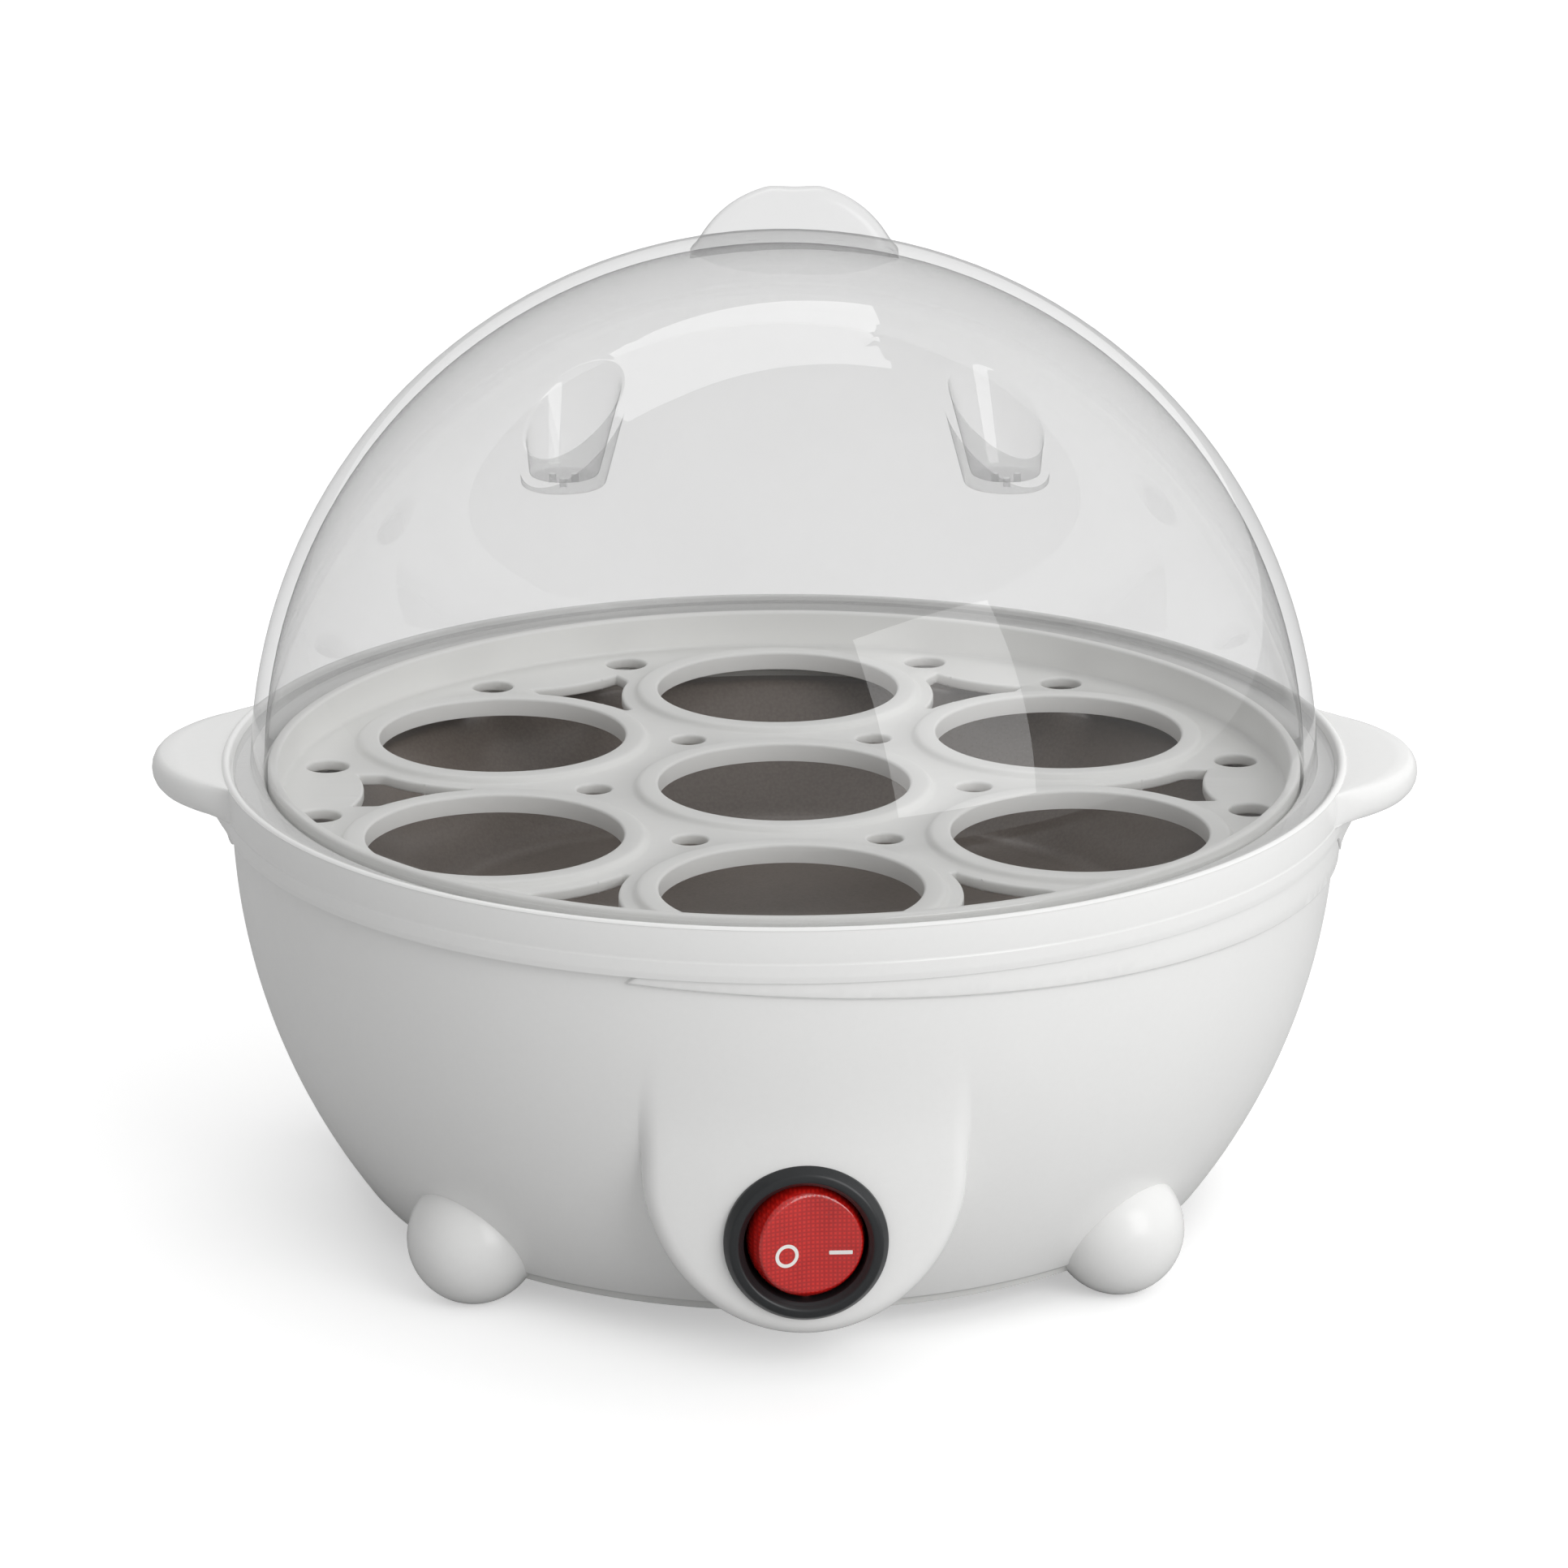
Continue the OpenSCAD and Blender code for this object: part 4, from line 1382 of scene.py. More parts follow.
        def keep(x: float, y: float) -> bool:
            """Leaves out every opening."""
            return math.hypot(x, y) < self.plate_r and not any(
                inside(x, y, h) for h in holes if abs(x - h[0][0]) < 40 and abs(y - h[0][1]) < 40
            )

        return triangulate([], loops, [], keep), heights

    def build(self) -> None:
        """Builds the plate and its rim."""
        flat, heights = self.sheet()
        top = self.base_z + self.plate_t

        def upper(x: float, y: float) -> Point:
            """The plate's upper face."""
            return (x, y, top + heights.get((round(x * 1e3), round(y * 1e3)), 0.0))

        def lower(x: float, y: float) -> Point:
            """The plate's lower face, rounded at the openings as the upper one is."""
            height = heights.get((round(x * 1e3), round(y * 1e3)), 0.0)
            return (x, y, self.base_z + max(0.0, -height) * 0.8)

        shape = Shape()
        wall(shape, flat, upper, lower, joined=lambda p: p.xy.length > self.plate_r - 0.01)
        rim = fillet([(self.plate_r, top, 0), (74.9, top, 0.6), (74.9, self.rim_z, 0.5),
                      (self.rim_r, self.rim_z, 0.5), (self.rim_r, self.base_z, 0.5),
                      (self.plate_r, self.base_z, 0)], closed=False)
        shape.lathe(rim, 180, closed=False)
        shape.turn(Matrix.Rotation(math.radians(self.turn), 4, "Z"))
        hand_over(shape.piece("perforated_tray", PAINT.slot("white_tray"), 60), "white_tray", "egg_tray")


@dataclass
class WaterPan:
    """The pan under the tray, in a grey-brown painted reflection.

    Attributes:
        floor_z: Height of the floor's underside.
        ledge_z: Height of the flange's underside.
        sheet_t: Thickness of the sheet.
    """

    floor_z: float = foot_of("heating_pan")
    ledge_z: float = 56.6
    sheet_t: float = 0.8

    def build(self) -> None:
        """Turns the pan from its profile, with a drawn radius at floor and flange."""
        t = self.sheet_t
        profile = fillet(
            [(0, self.floor_z, 0), (55, self.floor_z, 5.8), (70.5, self.ledge_z, 1.2),
             (77.0, self.ledge_z, 0.3), (77.0, self.ledge_z + t, 0.3), (70, self.ledge_z + t, 2),
             (54.6, self.floor_z + t, 5),
             (0, self.floor_z + t, 0)], steps=8, closed=False)
        shape = Shape()
        shape.lathe(profile, 144, closed=False)
        # The pan's grey-brown colour is a painted reflection
        hand_over(shape.piece("coated_pan", PAINT.slot("pan_metal"), 60), "pan_metal", "heating_pan")


# ---------------------------------------------------------------- lid


@dataclass
class Lid:
    """The clear dome with its flange, two steam scoops and grip.

    Attributes:
        radius: Outer radius of the dome.
        thick: Wall of the dome.
        middle_z: Height of the dome's middle.
        seat_z: Height of the flange's underside.
        turn: Turn of the lid on the ring.
        scoop: Middle of a scoop's floor.
        scoop_r: Radius of the scoop's floor.
        lean: Lean of the scoop's axis, in degrees.
        flare: Half the angle of the scoop's cone.
        scoop_wall: Wall of the scoop.
        join_z: Height where the dome's part of the mesh meets the flange's.
        steps: Divisions round the dome.
        round_steps: Divisions round a scoop.
    """

    radius: float = 79.0
    thick: float = 2.0
    middle_z: float = 65.7
    seat_z: float = foot_of("lid_dome")
    join_z: float = 68.4
    turn: float = -2.0
    scoop: tuple[float, float, float] = (31.0, -38.0, 119.8)
    scoop_r: float = 4.8
    lean: float = 8.0
    flare: float = 10.0
    scoop_wall: float = 1.3
    steps: int = 176
    round_steps: int = 56

    @property
    def join_arc(self) -> float:
        """Arc length from the dome's top to where the flange's part begins."""
        return self.radius * math.acos((self.join_z - self.middle_z) / self.radius)

    def on_sphere(self, u: float, v: float, depth: float) -> Vector:
        """The place in space of a point of the flattened dome."""
        arc = math.hypot(u, v)
        polar = arc / self.radius
        r = self.radius - depth
        if arc < 1e-9:
            return Vector((0, 0, self.middle_z + r))
        side = r * math.sin(polar) / arc
        return Vector((u * side, v * side, self.middle_z + r * math.cos(polar)))

    def flatten(self, p: Vector) -> Point:
        """The flattened place of a point of the dome."""
        q = p - Vector((0, 0, self.middle_z))
        polar = math.atan2(q.xy.length, q.z)
        scale = polar * self.radius / max(q.xy.length, 1e-9)
        return (q.x * scale, q.y * scale)

    def cone(self, side: int, t: float, h: float, grow: float) -> Vector:
        """A point of a scoop's cone, at an angle round its axis and a height along it."""
        r = self.scoop_r + h * math.tan(math.radians(self.flare)) + grow
        heading = math.atan2(self.scoop[1], self.scoop[0])
        turned = Matrix.Rotation(heading, 3, "Z") @ Matrix.Rotation(math.radians(-self.lean), 3, "Y")
        p = Vector(self.scoop) + turned @ Vector((r * cosd(t), r * sind(t), h))
        return Vector((p.x * side, p.y, p.z))

    def height_where(self, side: int, t: float, grow: float, test: Callable[[Vector], float]) -> float:
        """Height along a scoop's cone at which a growing measure passes zero."""
        low, high = -8.0, 34.0
        for _ in range(40):
            middle = (low + high) / 2
            if test(self.cone(side, t, middle, grow)) < 0:
                low = middle
            else:
                high = middle
        return (low + high) / 2

    def scoop_rings(self, side: int, grow: float, depth: float, floor_z: float, bead: float) -> list[Loop]:
        """Rings from the dome's skin over a scoop's lip and down its wall.

        Args:
            side: 1 or -1, for the right scoop or the left one.
            grow: Distance of the wall from the scoop's inner face.
            depth: Depth of the skin under the dome's outer face.
            floor_z: Height of the floor.
            bead: How far the lip stands up from the dome.

        Returns:
            Rings of points, the first on the dome and the last on the floor.
        """
        middle = Vector((0, 0, self.middle_z))
        out = self.radius - depth
        rings: list[Loop] = [[] for _ in range(6 + 7 + 5)]
        for k in range(self.round_steps):
            t = 360 * k / self.round_steps
            mouth_h = self.height_where(side, t, grow, lambda p: (p - middle).length - out)
            floor_h = self.height_where(side, t, grow, lambda p: p.z - floor_z)
            soft = min(0.7, 0.4 * (mouth_h - floor_h))
            mouth = self.cone(side, t, mouth_h, grow)
            axis_point = self.cone(side, t + 180, mouth_h, grow)
            away = (mouth - axis_point).normalized()
            normal = (mouth - middle).normalized()
            away = (away - normal * away.dot(normal)).normalized()
            far = middle + (mouth + away * 0.9 - middle).normalized() * out
            crown = mouth + normal * bead
            down = self.cone(side, t, mouth_h - soft, grow)
            for i, s in enumerate(spread(0, 1, 6)):
                rings[i].append(bend(far, crown, down, s))
            floor_edge = self.cone(side, t, floor_h, grow)
            above = self.cone(side, t, floor_h + soft, grow)
            for i, s in enumerate(spread(0, 1, 9)[1:-1]):
                rings[6 + i].append(down.lerp(above, s))
            centre = self.floor_centre(side, floor_z)
            in_floor = floor_edge + (centre - floor_edge).normalized() * soft
            for i, s in enumerate(spread(0, 1, 5)):
                rings[13 + i].append(bend(above, floor_edge, in_floor, s))
        return rings

    def floor_centre(self, side: int, z: float) -> Vector:
        """Middle of a scoop's floor at a height."""
        return Vector((self.scoop[0] * side, self.scoop[1], z))

    def flange(self) -> Loop:
        """Profile from the dome's outer skin round the flange to its inner skin."""
        arc = self.join_arc / self.radius
        outer = (self.radius * math.sin(arc), self.middle_z + self.radius * math.cos(arc))
        inner_r = self.radius - self.thick
        inner = (inner_r * math.sin(arc), self.middle_z + inner_r * math.cos(arc))
        top = self.seat_z + 1.6
        return fillet([(*outer, 0), (78.98, top, 0.5), (81.6, top, 0.45), (81.6, self.seat_z, 0.35),
                       (79.9, self.seat_z, 0.1), (79.7, self.seat_z - 0.0, 0.1), (77.05, self.seat_z, 0.35),
                       (*inner, 0)], closed=False)

    def dome(self) -> bpy.types.Object:
        """Builds the dome, its scoops and its flange as one closed moulding."""
        shape = Shape()
        loops = [circle(0, 0, self.join_arc, self.steps)]
        mouths = []
        skins = {}
        for side in (1, -1):
            outer = self.scoop_rings(side, 0.0, 0.0, self.scoop[2], 0.2)
            inner = self.scoop_rings(side, self.scoop_wall, self.thick, self.scoop[2] - 1.4, 0.0)
            skins[side] = (outer, inner)
        for depth, which in ((0.0, 0), (self.thick, 1)):
            edges = [[self.flatten(Vector(p)) for p in skins[side][which][0]] for side in (1, -1)]
            mouths.append(edges)
            collars = []
            for edge in edges:
                centre = sum((Vector(p) for p in edge), Vector((0, 0))) / len(edge)
                for grow in (1.07, 1.18, 1.34):
                    collars.append([tuple(centre + (Vector(p) - centre) * grow) for p in edge])
            loose = []
            row = 3.0
            for i in range(1, int(self.join_arc / row)):
                r = i * row
                count = self.steps if r > 90 else max(8, round(math.tau * r / 3.2))
                for p in circle(0, 0, r, count, 7 * i if count != self.steps else 0):
                    if not any(inside(*p, c) for c in collars[2::3]):
                        loose.append(p)
            gate = self.flatten(Vector((13.2, -30.5, self.middle_z + 71.6)))
            rings = [circle(*gate, r, 20) for r in (0.6, 0.85, 1.1)] if which == 0 else []
            loose = [p for p in loose if math.hypot(p[0] - gate[0], p[1] - gate[1]) > 1.6] + [(0.0, 0.0)]

            def keep(u: float, v: float) -> bool:
                """Leaves out the scoops' mouths."""
                return math.hypot(u, v) < self.join_arc and not any(inside(u, v, e) for e in edges)

            flat, triangles = triangulate(loose, loops + edges + collars + rings, [], keep)
            skin = []
            for u, v in flat:
                mark = 0.12 * ramp((1.1 - math.hypot(u - gate[0], v - gate[1])) / 0.4) if which == 0 else 0.0
                skin.append(self.on_sphere(u, v, depth - mark))
            shape.add(skin, triangles)
        for side in (1, -1):
            outer, inner = skins[side]
            shape.strip(outer)
            shape.strip(inner)
            self.floor(shape, side, outer[-1], inner[-1])
        shape.lathe(self.flange(), self.steps, closed=False)
        shape.turn(Matrix.Rotation(math.radians(self.turn), 4, "Z"))
        return shape.piece("clear_dome", PAINT.slot("clear_lid"), 70)

    def floor(self, shape: Shape, side: int, upper: Loop, lower: Loop) -> None:
        """A scoop's floor with its three drain holes.

        Args:
            shape: The lid.
            side: Which scoop.
            upper: Edge of the floor's upper face.
            lower: Edge of its lower face.
        """
        top_z, low_z = upper[0][2], lower[0][2]
        edge = [(p[0], p[1]) for p in upper]
        centre = self.floor_centre(side, 0.0)
        holes = [circle(centre.x + 1.8 * cosd(a), centre.y + 1.8 * sind(a), 0.5, 16) for a in (30, 150, 270)]

        def keep(x: float, y: float) -> bool:
            """Leaves out the drain holes."""
            return inside(x, y, edge) and not any(inside(x, y, hole) for hole in holes)

        flat = triangulate([], [edge, *holes], [], keep)
        wall(shape, flat, lambda x, y: (x, y, top_z), lambda x, y: (x, y, low_z),
             joined=lambda p: math.hypot(p.x - centre.x, p.y - centre.y) > 2.6)
        shape.strip([[(x, y, low_z) for x, y in edge], lower])

    def grip(self) -> bpy.types.Object:
        """The fin on top, thicker at its foot, with a shallow dip in its top edge."""
        half_w, middle, dip_r, shift = 15.5, 137.7, 20.0, 1.5
        foot_t, top_t, edge, sunk = 3.4, 2.2, 1.5, 0.4

        def ground(x: float) -> float:
            """Height of the dome's outside under the fin."""
            return self.middle_z + math.sqrt(self.radius**2 - x * x)

        start = next(
            a for a in spread(0, 60, 301) if middle + half_w * sind(a) > ground(half_w * cosd(a)) - sunk
        )
        arc = [(half_w * cosd(a), middle + half_w * sind(a)) for a in spread(start, 180 - start, 61)]
        dip_z = middle + half_w - 0.55 + dip_r
        top = []
        for x, z in arc:
            under = dip_z - math.sqrt(max(0.0, dip_r**2 - x * x)) if abs(x) < dip_r else z
            top.append((x, -soft_max(-z, -under, 0.5)))
        base_half = half_w * cosd(start) - 0.3
        base = [(x, ground(x) - sunk) for x in spread(-base_half, base_half, 25)]
        outline = top + base
        count = len(outline)

        def flare(x: float, z: float) -> float:
            """How much the fin spreads where it meets the dome."""
            return math.exp(-max(0.0, z - ground(x)) / 0.7)

        def half_thickness(z: float) -> float:
            """Half the fin's thickness at a height."""
            t = (z - 143) / 10
            return foot_t + (top_t - foot_t) * min(1.0, max(0.0, t))

        loops = []
        for d in (0.0, 0.12, 0.4, 0.8, edge, 3.0):
            loop = []
            for i, (x, z) in enumerate(outline):
                before, after = Vector(outline[i - 1]), Vector(outline[(i + 1) % count])
                along = (after - before).normalized()
                inward = Vector((-along.y, along.x))
                if i < len(top):
                    in_x = x + inward.x * d
                    loop.append((in_x, max(z + inward.y * d, ground(in_x) - sunk + d * 0.12)))
                else:
                    in_x = x * (1 - d / 40)
                    loop.append((in_x, ground(in_x) - sunk + d * 0.1))
            loops.append(loop)
        depth: dict[tuple[int, int], float] = {}
        for loop, d in zip(loops, (0.0, 0.12, 0.4, 0.8, edge, 3.0)):
            for x, z in loop:
                depth[(round(x * 1e3), round(z * 1e3))] = round_drop(d, edge)
        loose = [(x, z) for x in spread(-10, 10, 9) for z in (145, 147, 149) if inside(x, z, loops[-1])]
        flat = triangulate(loose, loops, [], lambda x, z: inside(x, z, loops[0]))

        def face(sign: float) -> Callable[[float, float], Point]:
            """The front or the back of the fin."""

            def spot(x: float, z: float) -> Point:
                """A point of the fin's side in space."""
                spread_out = flare(x, z)
                drop = depth.get((round(x * 1e3), round(z * 1e3)), 0.0) * (1 - spread_out * 0.6)
                y = half_thickness(z) - drop + 0.5 * spread_out
                return (shift + x * (1 + 0.035 * spread_out), -sign * y, z)

            return spot

        shape = Shape()
        wall(shape, flat, face(1.0), face(-1.0))
        shape.turn(Matrix.Rotation(math.radians(self.turn), 4, "Z"))
        return shape.piece("fin_grip", PAINT.grip(), 70)

    def build(self) -> None:
        """Builds the dome and the grip."""
        hand_over(self.dome(), "clear_lid", "lid_dome")
        hand_over(self.grip(), "clear_lid", "lid_grip")


# ---------------------------------------------------------------- switch


@dataclass
class Switch:
    """The round rocker switch in the fairing.

    Attributes:
        housing: The bowl that the switch is fitted in.
        seat_y: Where the bezel's back lies on the fairing.
        bezel_r: Radius of the bezel.
        bezel_t: Thickness of the bezel.
        barrel_r: Radius of the barrel behind it.
        opening_r: Radius of the opening that the rocker turns in.
        ball_r: Radius of the rocker's round side.
        pivot_y: Distance of the rocker's pins along Y.
        face: Distance from the pins to the middle of the rocker's face.
        face_r: Radius of the rocker's face.
        dish: Slope of each half of the face, in degrees.
        rest: How far the rocker is turned at rest.
    """

    housing: Housing
    seat_y: float = -79.2
    bezel_r: float = 11.5
    bezel_t: float = 2.4
    barrel_r: float = 10.0
    opening_r: float = 8.65
    ball_r: float = 8.3
    pivot_y: float = pin_of("rocker_pivot")[1]
    face: float = 3.2
    face_r: float = 7.35
    dish: float = 10.0
    rest: float = 10.0

    def facing(self) -> Matrix:
        """Turns the Z axis of a lathed shape to face the front, at the switch's height."""
        return Matrix.Translation((0, 0, self.housing.switch_z)) @ Matrix.Rotation(math.radians(90), 4, "X")

    def bezel(self) -> None:
        """The black bezel and barrel."""
        back, front = -self.seat_y, -self.seat_y + self.bezel_t
        profile = fillet(
            [(self.barrel_r, 62, 0.4), (self.barrel_r, back, 0), (self.bezel_r, back, 0.25),
             (self.bezel_r - 0.05, back + 0.9, 0.5), (self.bezel_r - 0.9, front - 0.15, 0.7),
             (9.5, front, 0.5), (9.05, front - 0.7, 0.3), (self.opening_r, front - 1.2, 0.3),
             (self.opening_r, 71, 0.3), (6.5, 71, 0.3), (6.5, 64.5, 0), (0, 64.5, 0), (0, 62, 0)],
            steps=5, closed=False)
        shape = Shape()
        shape.lathe([(0, 62)] + profile[:-1], 128, closed=False)
        shape.turn(self.facing())
        hand_over(shape.piece("switch_bezel", PAINT.slot("black_nylon"), 40), "black_nylon", "switch_housing")

    def face_depth(self, x: float, y: float) -> float:
        """Distance of the rocker's face from its pins: two flats that meet in a soft valley."""
        soft = 1.2
        slope = math.tan(math.radians(self.dish))
        return self.face + slope * (math.sqrt(x * x + soft * soft) - soft)

    def on_rocker(self) -> Matrix:
        """Carries the rocker's own frame, with Z out of its face, to its rest pose."""
        return (
            Matrix.Translation((0, self.pivot_y, self.housing.switch_z))
            @ Matrix.Rotation(math.radians(self.rest), 4, "Z")
            @ Matrix.Rotation(math.radians(90), 4, "X")
        )

    def rocker(self) -> None:
        """The red rocker with a rounded edge, a ball-shaped side and its two pins."""
        turns = spread(0, 356.25, 96)
        rows: list[Loop] = []
        for r in (0.0, 0.5, 1.0, 1.6, 2.4, 3.3, 4.2, 5.1, 5.9, 6.5, 6.9):
            ring = [(r * cosd(a), r * sind(a)) for a in turns]
            rows.append([(x, y, self.face_depth(x, y)) for x, y in ring])
        for s in spread(0.12, 1.0, 8):
            ring = []
            for a in turns:
                x, y = cosd(a), sind(a)
                inner = Vector((6.9 * x, 6.9 * y, self.face_depth(6.9 * x, 6.9 * y)))
                far_x, far_y = self.face_r * x, self.face_r * y
                corner = Vector((far_x, far_y, self.face_depth(far_x, far_y)))
                low = corner.z - 0.8
                side = math.sqrt(self.ball_r**2 - low * low)
                ring.append(bend(inner, corner, Vector((side * x, side * y, low)), s))
            rows.append(ring)
        edge = rows[-1]
        for s in spread(0.12, 1.0, 9):
            ring = []
            for a, top in zip(turns, edge):
                z = top[2] + (-self.face - top[2]) * s
                side = math.sqrt(self.ball_r**2 - z * z)
                ring.append((side * cosd(a), side * sind(a), z))
            rows.append(ring)
        rows.append([(7.0 * cosd(a), 7.0 * sind(a), -self.face) for a in turns])
        rows.append([(0.0, 0.0, -self.face) for _ in turns])
        shape = Shape()
        shape.strip(rows)
        for sign in (1, -1):
            pin = Shape()
            side = fillet([(0, 7.6, 0), (0.9, 7.6, 0), (0.9, 9.2, 0.2), (0, 9.2, 0)], closed=False)
            pin.lathe(side, 24, closed=False)
            pin.turn(Matrix.Rotation(math.radians(-90 * sign), 4, "X"))
            shape.add(pin.points, pin.faces)
        shape.turn(self.on_rocker())
        hand_over(shape.piece("lit_rocker", PAINT.slot("red_lens"), 45), "red_lens", "switch_rocker")

    def symbols(self) -> None:
        """A ring on the raised side and a dash on the pressed one, as thin print."""
        drop, left, right = -1.3, -3.4, 4.2
        shape = Shape()
        outer, hole = circle(left, drop, 1.7, 48), circle(left, drop, 1.2, 48)
        dash = fillet([(right - 1.6, drop - 0.28, 0.1), (right + 1.6, drop - 0.28, 0.1),
                       (right + 1.6, drop + 0.28, 0.1), (right - 1.6, drop + 0.28, 0.1)])

        def keep(x: float, y: float) -> bool:
            """Leaves the ring and the dash."""
            return (inside(x, y, outer) and not inside(x, y, hole)) or inside(x, y, dash)

        def level(lift: float) -> Callable[[float, float], Point]:
            """A skin at a height over the face."""
            return lambda x, y: (x, y, self.face_depth(x, y) + lift)

        wall(shape, triangulate([], [outer, hole, dash], [], keep), level(0.05), level(-0.12))
        shape.turn(self.on_rocker())
        hand_over(shape.piece("switch_marks", PAINT.slot("white_print"), 30), "white_print", "switch_symbols")

    def build(self) -> None:
        """Builds the bezel, the rocker and its marks."""
        self.bezel()
        self.rocker()
        self.symbols()


# ---------------------------------------------------------------- wiring and inner parts


@dataclass
class Wiring:
    """The cord's gland and the six leads inside the housing.

    The routes are lists of points, the same as in the CAD source.

    Attributes:
        housing: The bowl that holds the gland.
        lead_r: Outer radius of a lead.
        routes: Each lead's material slot and the points that it passes.
    """

    housing: Housing
    lead_r: float = 1.3
    routes: dict[str, tuple[str, Loop]] = field(
        default_factory=lambda: {
            "lead_live": ("live_insulation", [
                (-36, 4.6, 11.4), (-28, 2, 11.2), (-20, -12, 11), (-11, -32, 15), (-5.5, -43, 20.6),
                (-5.5, -50, 21.1)]),
            "lead_switched": ("switched_insulation", [
                (0, -50, 21.1), (0, -43, 20.9), (-1.5, -30, 14), (-4.2, -13, 8.6), (-5, -2.5, 8.8),
                (-5, 0, 14)]),
            "lead_heater": ("heater_insulation", [
                (5, 0, 14), (5, 2, 9.2), (11, 8, 9.5), (19, 15, 18), (21, 20, 28), (17.5, 22, 32.2),
                (11, 22, 32.4)]),
            "lead_fuse": ("heater_insulation", [
                (-11, 22, 32.4), (-16.5, 22, 31.5), (-22, 23, 24), (-22.5, 26, 14), (-18.5, 31, 8.6),
                (-15.2, 32.6, 13)]),
            "lead_neutral": ("neutral_insulation", [
                (-33.4, 14.2, 11.4), (-26, 15, 9.6), (-12, 14, 8.4), (3, 20, 8.2), (12, 29, 8.6),
                (15.2, 32.6, 13)]),
            "lead_lamp": ("neutral_insulation", [
                (5.5, -50, 21.1), (5.5, -43, 20.8), (14, -28, 14), (24, -8, 10), (28, 14, 10), (26, 28, 12),
                (21.5, 32.4, 16), (17.3, 32.6, 17)]),
        }
    )

    def gland(self) -> None:
        """The black gland ring with a flange on the inlet's flat face."""
        face = self.housing.cord_r
        profile = fillet([(3.4, 54, 0.2), (4.0, 54, 0.2), (4.0, 62.2, 0), (4.9, 62.4, 0.2),
                          (4.9, face + 0.05, 0), (6.6, face + 0.05, 0.15), (6.6, face + 0.5, 0.2), (5.6, face + 0.9, 0.3),
                          (3.7, face + 0.9, 0.4), (3.7, 62.6, 0), (3.4, 62.3, 0)])
        shape = Shape()
        shape.lathe(profile, 64)
        shape.turn(
            Matrix.Rotation(math.radians(self.housing.cord_az), 4, "Z")
            @ Matrix.Translation((0, 0, self.housing.cord_z))
            @ Matrix.Rotation(math.radians(90), 4, "Y")
        )
        hand_over(shape.piece("cord_gland_ring", PAINT.slot("black_nylon"), 50), "black_nylon", "cord_gland")

    def leads(self) -> None:
        """Each lead as a round tube along its route."""
        tree = lead_group()
        for node, (slot, points) in self.routes.items():
            curve = bpy.data.curves.new(node + "_route", "CURVE")
            curve.dimensions = "3D"
            spline = curve.splines.new("POLY")
            spline.points.add(len(points) - 1)
            for place_at, p in zip(spline.points, points):
                place_at.co = (p[0] * MM, p[1] * MM, p[2] * MM, 1)
            route = bpy.data.objects.new(node + "_route", curve)
            bpy.context.scene.collection.objects.link(route)
            mesh = run_group(
                node + "_tube",
                tree,
                {"Route": route, "Radius": self.lead_r * MM, "Sides": 20, "Finish": PAINT.slot(slot)},
            )
            bpy.data.objects.remove(route)
            clean(mesh)
            hand_over(place(node + "_tube", mesh, PAINT.slot(slot)), slot, node)

    def build(self) -> None:
        """Builds the gland and the leads."""
        self.gland()
        self.leads()


class InnerParts:
    """The CAD nodes whose shape is already right: they keep it and get a finish."""

    def build(self) -> None:
        """Dresses every CAD node that is still shown."""
        slots = {part["node"]: part["material_slot"] for part in frame["record"]["subparts"]}
        for name, node in frame["nodes"].items():
            if node.hide_render:
                continue
            node.data.materials.clear()
            node.data.materials.append(PAINT.slot(slots[name]))
            log.info("%s keeps its CAD shape in %s", name, slots[name])


# ---------------------------------------------------------------- studio


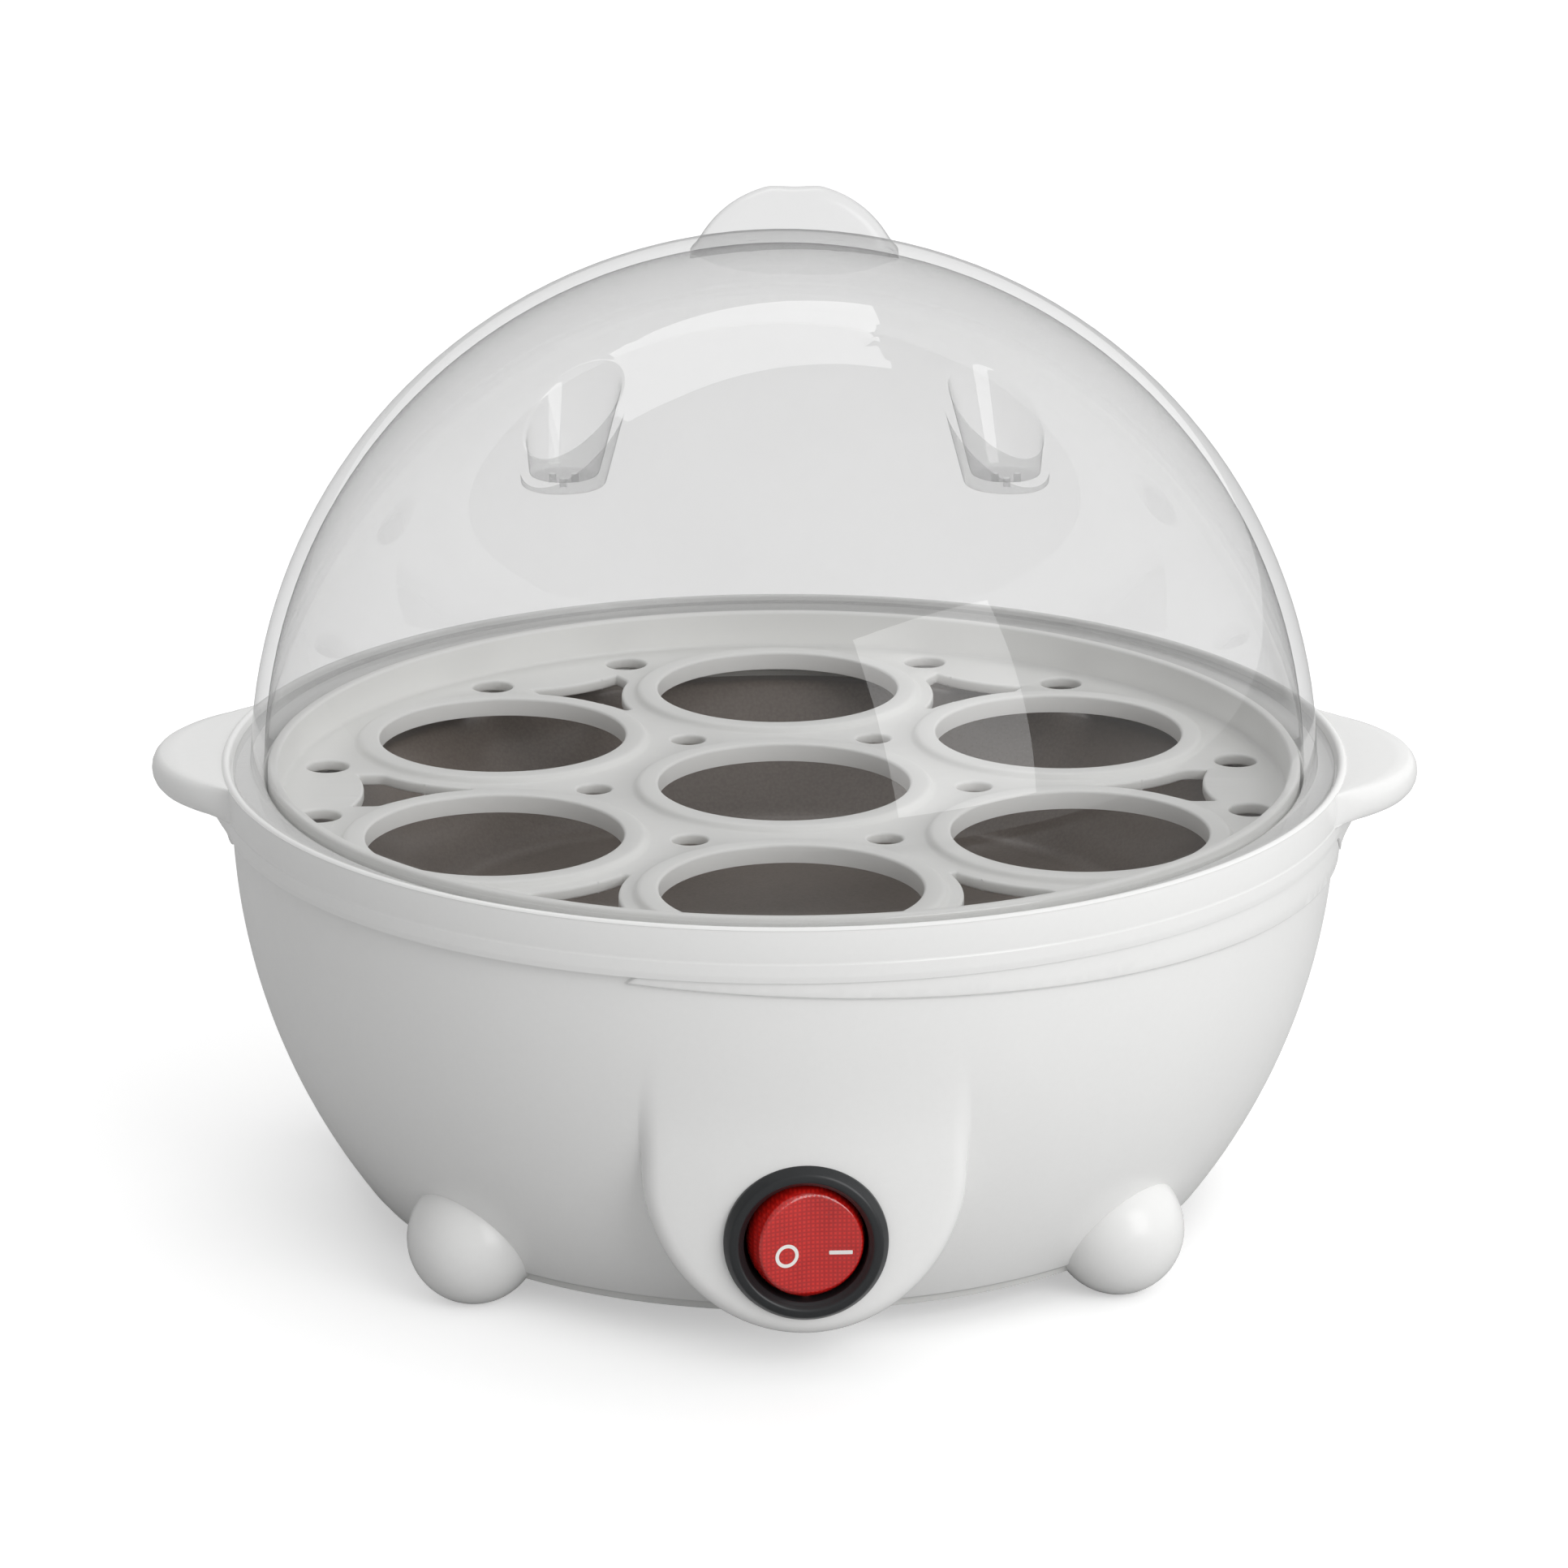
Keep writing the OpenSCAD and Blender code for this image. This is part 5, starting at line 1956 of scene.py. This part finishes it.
@dataclass
class Studio:
    """The pale floor, the soft lights and the camera.

    Attributes:
        azimuth: Direction of the camera round the object, in degrees.
        elevation: Height of the camera over the horizon, in degrees.
        distance: Distance of the camera from what it looks at, in metres.
        target_z: Height of what it looks at, in metres.
        lens: Focal length on a sensor 36 mm wide.
    """

    azimuth: float = -2.2
    elevation: float = 17.65
    distance: float = 0.9
    target_z: float = 0.0623
    lens: float = 138.8

    @staticmethod
    def seen(tree: bpy.types.NodeTree) -> bpy.types.NodeSocket:
        """1 for what the camera sees straight or through the lid, 0 for light on its way."""
        path = add_node(tree, "ShaderNodeLightPath").outputs
        both = add_node(
            tree,
            "ShaderNodeMath",
            links={0: path["Is Camera Ray"], 1: path["Is Transmission Ray"]},
            operation="MAXIMUM",
        )
        return both.outputs["Value"]

    def camera(self) -> None:
        """A long lens, a little over the object and looking down at it."""
        data = bpy.data.cameras.new("camera")
        data.lens = self.lens
        data.clip_start, data.clip_end = 0.01, 20
        obj = bpy.data.objects.new("camera", data)
        bpy.context.scene.collection.objects.link(obj)
        back = Vector((
            sind(self.azimuth) * cosd(self.elevation),
            -cosd(self.azimuth) * cosd(self.elevation),
            sind(self.elevation),
        ))
        obj.location = Vector((0, 0, self.target_z)) + back * self.distance
        obj.rotation_euler = (-back).to_track_quat("-Z", "Y").to_euler()
        bpy.context.scene.camera = obj

    def floor(self) -> None:
        """A white floor that runs on past the view."""
        half = 4.0
        mesh = bpy.data.meshes.new("floor")
        corners = [(-half, -half, 0), (half, -half, 0), (half, half, 0), (-half, half, 0)]
        mesh.from_pydata(corners, [], [(0, 1, 2, 3)])
        material, tree = start_material("white_floor")
        seen = add_node(tree, "ShaderNodeBsdfDiffuse", {"Color": linear("e6e6e6")})
        lift = add_node(tree, "ShaderNodeEmission", {"Color": linear("ffffff"), "Strength": 0.42})
        both = add_node(
            tree, "ShaderNodeAddShader", links={0: seen.outputs["BSDF"], 1: lift.outputs["Emission"]}
        )
        bounced = add_node(tree, "ShaderNodeBsdfDiffuse", {"Color": linear("c2c2c2")})
        mixed = add_node(
            tree,
            "ShaderNodeMixShader",
            links={0: self.seen(tree), 1: bounced.outputs["BSDF"], 2: both.outputs["Shader"]},
        )
        add_node(tree, "ShaderNodeOutputMaterial", links={"Surface": mixed.outputs["Shader"]})
        place("floor", mesh, material)

    def area(
        self,
        name: str,
        azimuth: float,
        elevation: float,
        away: float,
        size: tuple[float, float],
        power: float,
    ) -> None:
        """A soft light that faces the object.

        Args:
            name: Name of the light.
            azimuth: Its direction, counted as the camera's is.
            elevation: Its height over the horizon in degrees.
            away: Its distance in metres.
            size: Its width and height in metres.
            power: Its power in watts.
        """
        data = bpy.data.lights.new(name, "AREA")
        data.shape, data.size, data.size_y, data.energy = "RECTANGLE", *size, power
        obj = bpy.data.objects.new(name, data)
        bpy.context.scene.collection.objects.link(obj)
        back = Vector((
            sind(azimuth) * cosd(elevation),
            -cosd(azimuth) * cosd(elevation),
            sind(elevation),
        ))
        obj.location = Vector((0, 0, 0.07)) + back * away
        obj.rotation_euler = (-back).to_track_quat("-Z", "Y").to_euler()

    def world(self) -> None:
        """A white surround that is dimmer towards the left."""
        world = bpy.data.worlds.new("surround")
        bpy.context.scene.world = world
        world.use_nodes = True
        tree = world.node_tree
        tree.nodes.clear()
        where = add_node(tree, "ShaderNodeTexCoord")
        axes = add_node(tree, "ShaderNodeSeparateXYZ", links={"Vector": where.outputs["Generated"]})
        side = add_node(
            tree,
            "ShaderNodeMapRange",
            {"From Min": -0.9, "From Max": 0.75, "To Min": 0.35, "To Max": 1.0},
            {"Value": axes.outputs["X"]},
        )
        strength = add_node(
            tree, "ShaderNodeMath", links={0: self.seen(tree), 1: side.outputs["Result"]}, operation="MAXIMUM"
        )
        back = add_node(
            tree, "ShaderNodeBackground", {"Color": linear("ffffff")}, {"Strength": strength.outputs["Value"]}
        )
        add_node(tree, "ShaderNodeOutputWorld", links={"Surface": back.outputs["Background"]})

    def build(self) -> None:
        """Sets the studio up."""
        self.camera()
        self.floor()
        self.area("window_softbox", -166, 62, 1.5, (1.15, 0.6), 4.0)
        self.area("right_softbox", 36, 24, 1.6, (0.9, 1.1), 8.5)
        self.world()
        bpy.context.scene.view_settings.view_transform = "Standard"
        bpy.context.scene.view_settings.exposure = 0.0
        # A look through the lid and a scoop crosses more clear faces than the default allows for
        bpy.context.scene.cycles.transparent_max_bounces = 24


def main() -> None:
    """Builds the studio and every piece."""
    logging.basicConfig(level=logging.INFO, format="%(name)s: %(message)s")
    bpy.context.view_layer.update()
    Studio().build()
    housing = Housing()
    housing.build()
    RingWithEars(housing).build()
    Underside(housing).build()
    WaterPan().build()
    EggTray().build()
    Lid().build()
    Switch(housing).build()
    Wiring(housing).build()
    InnerParts().build()


if __name__ == "__main__":
    main()
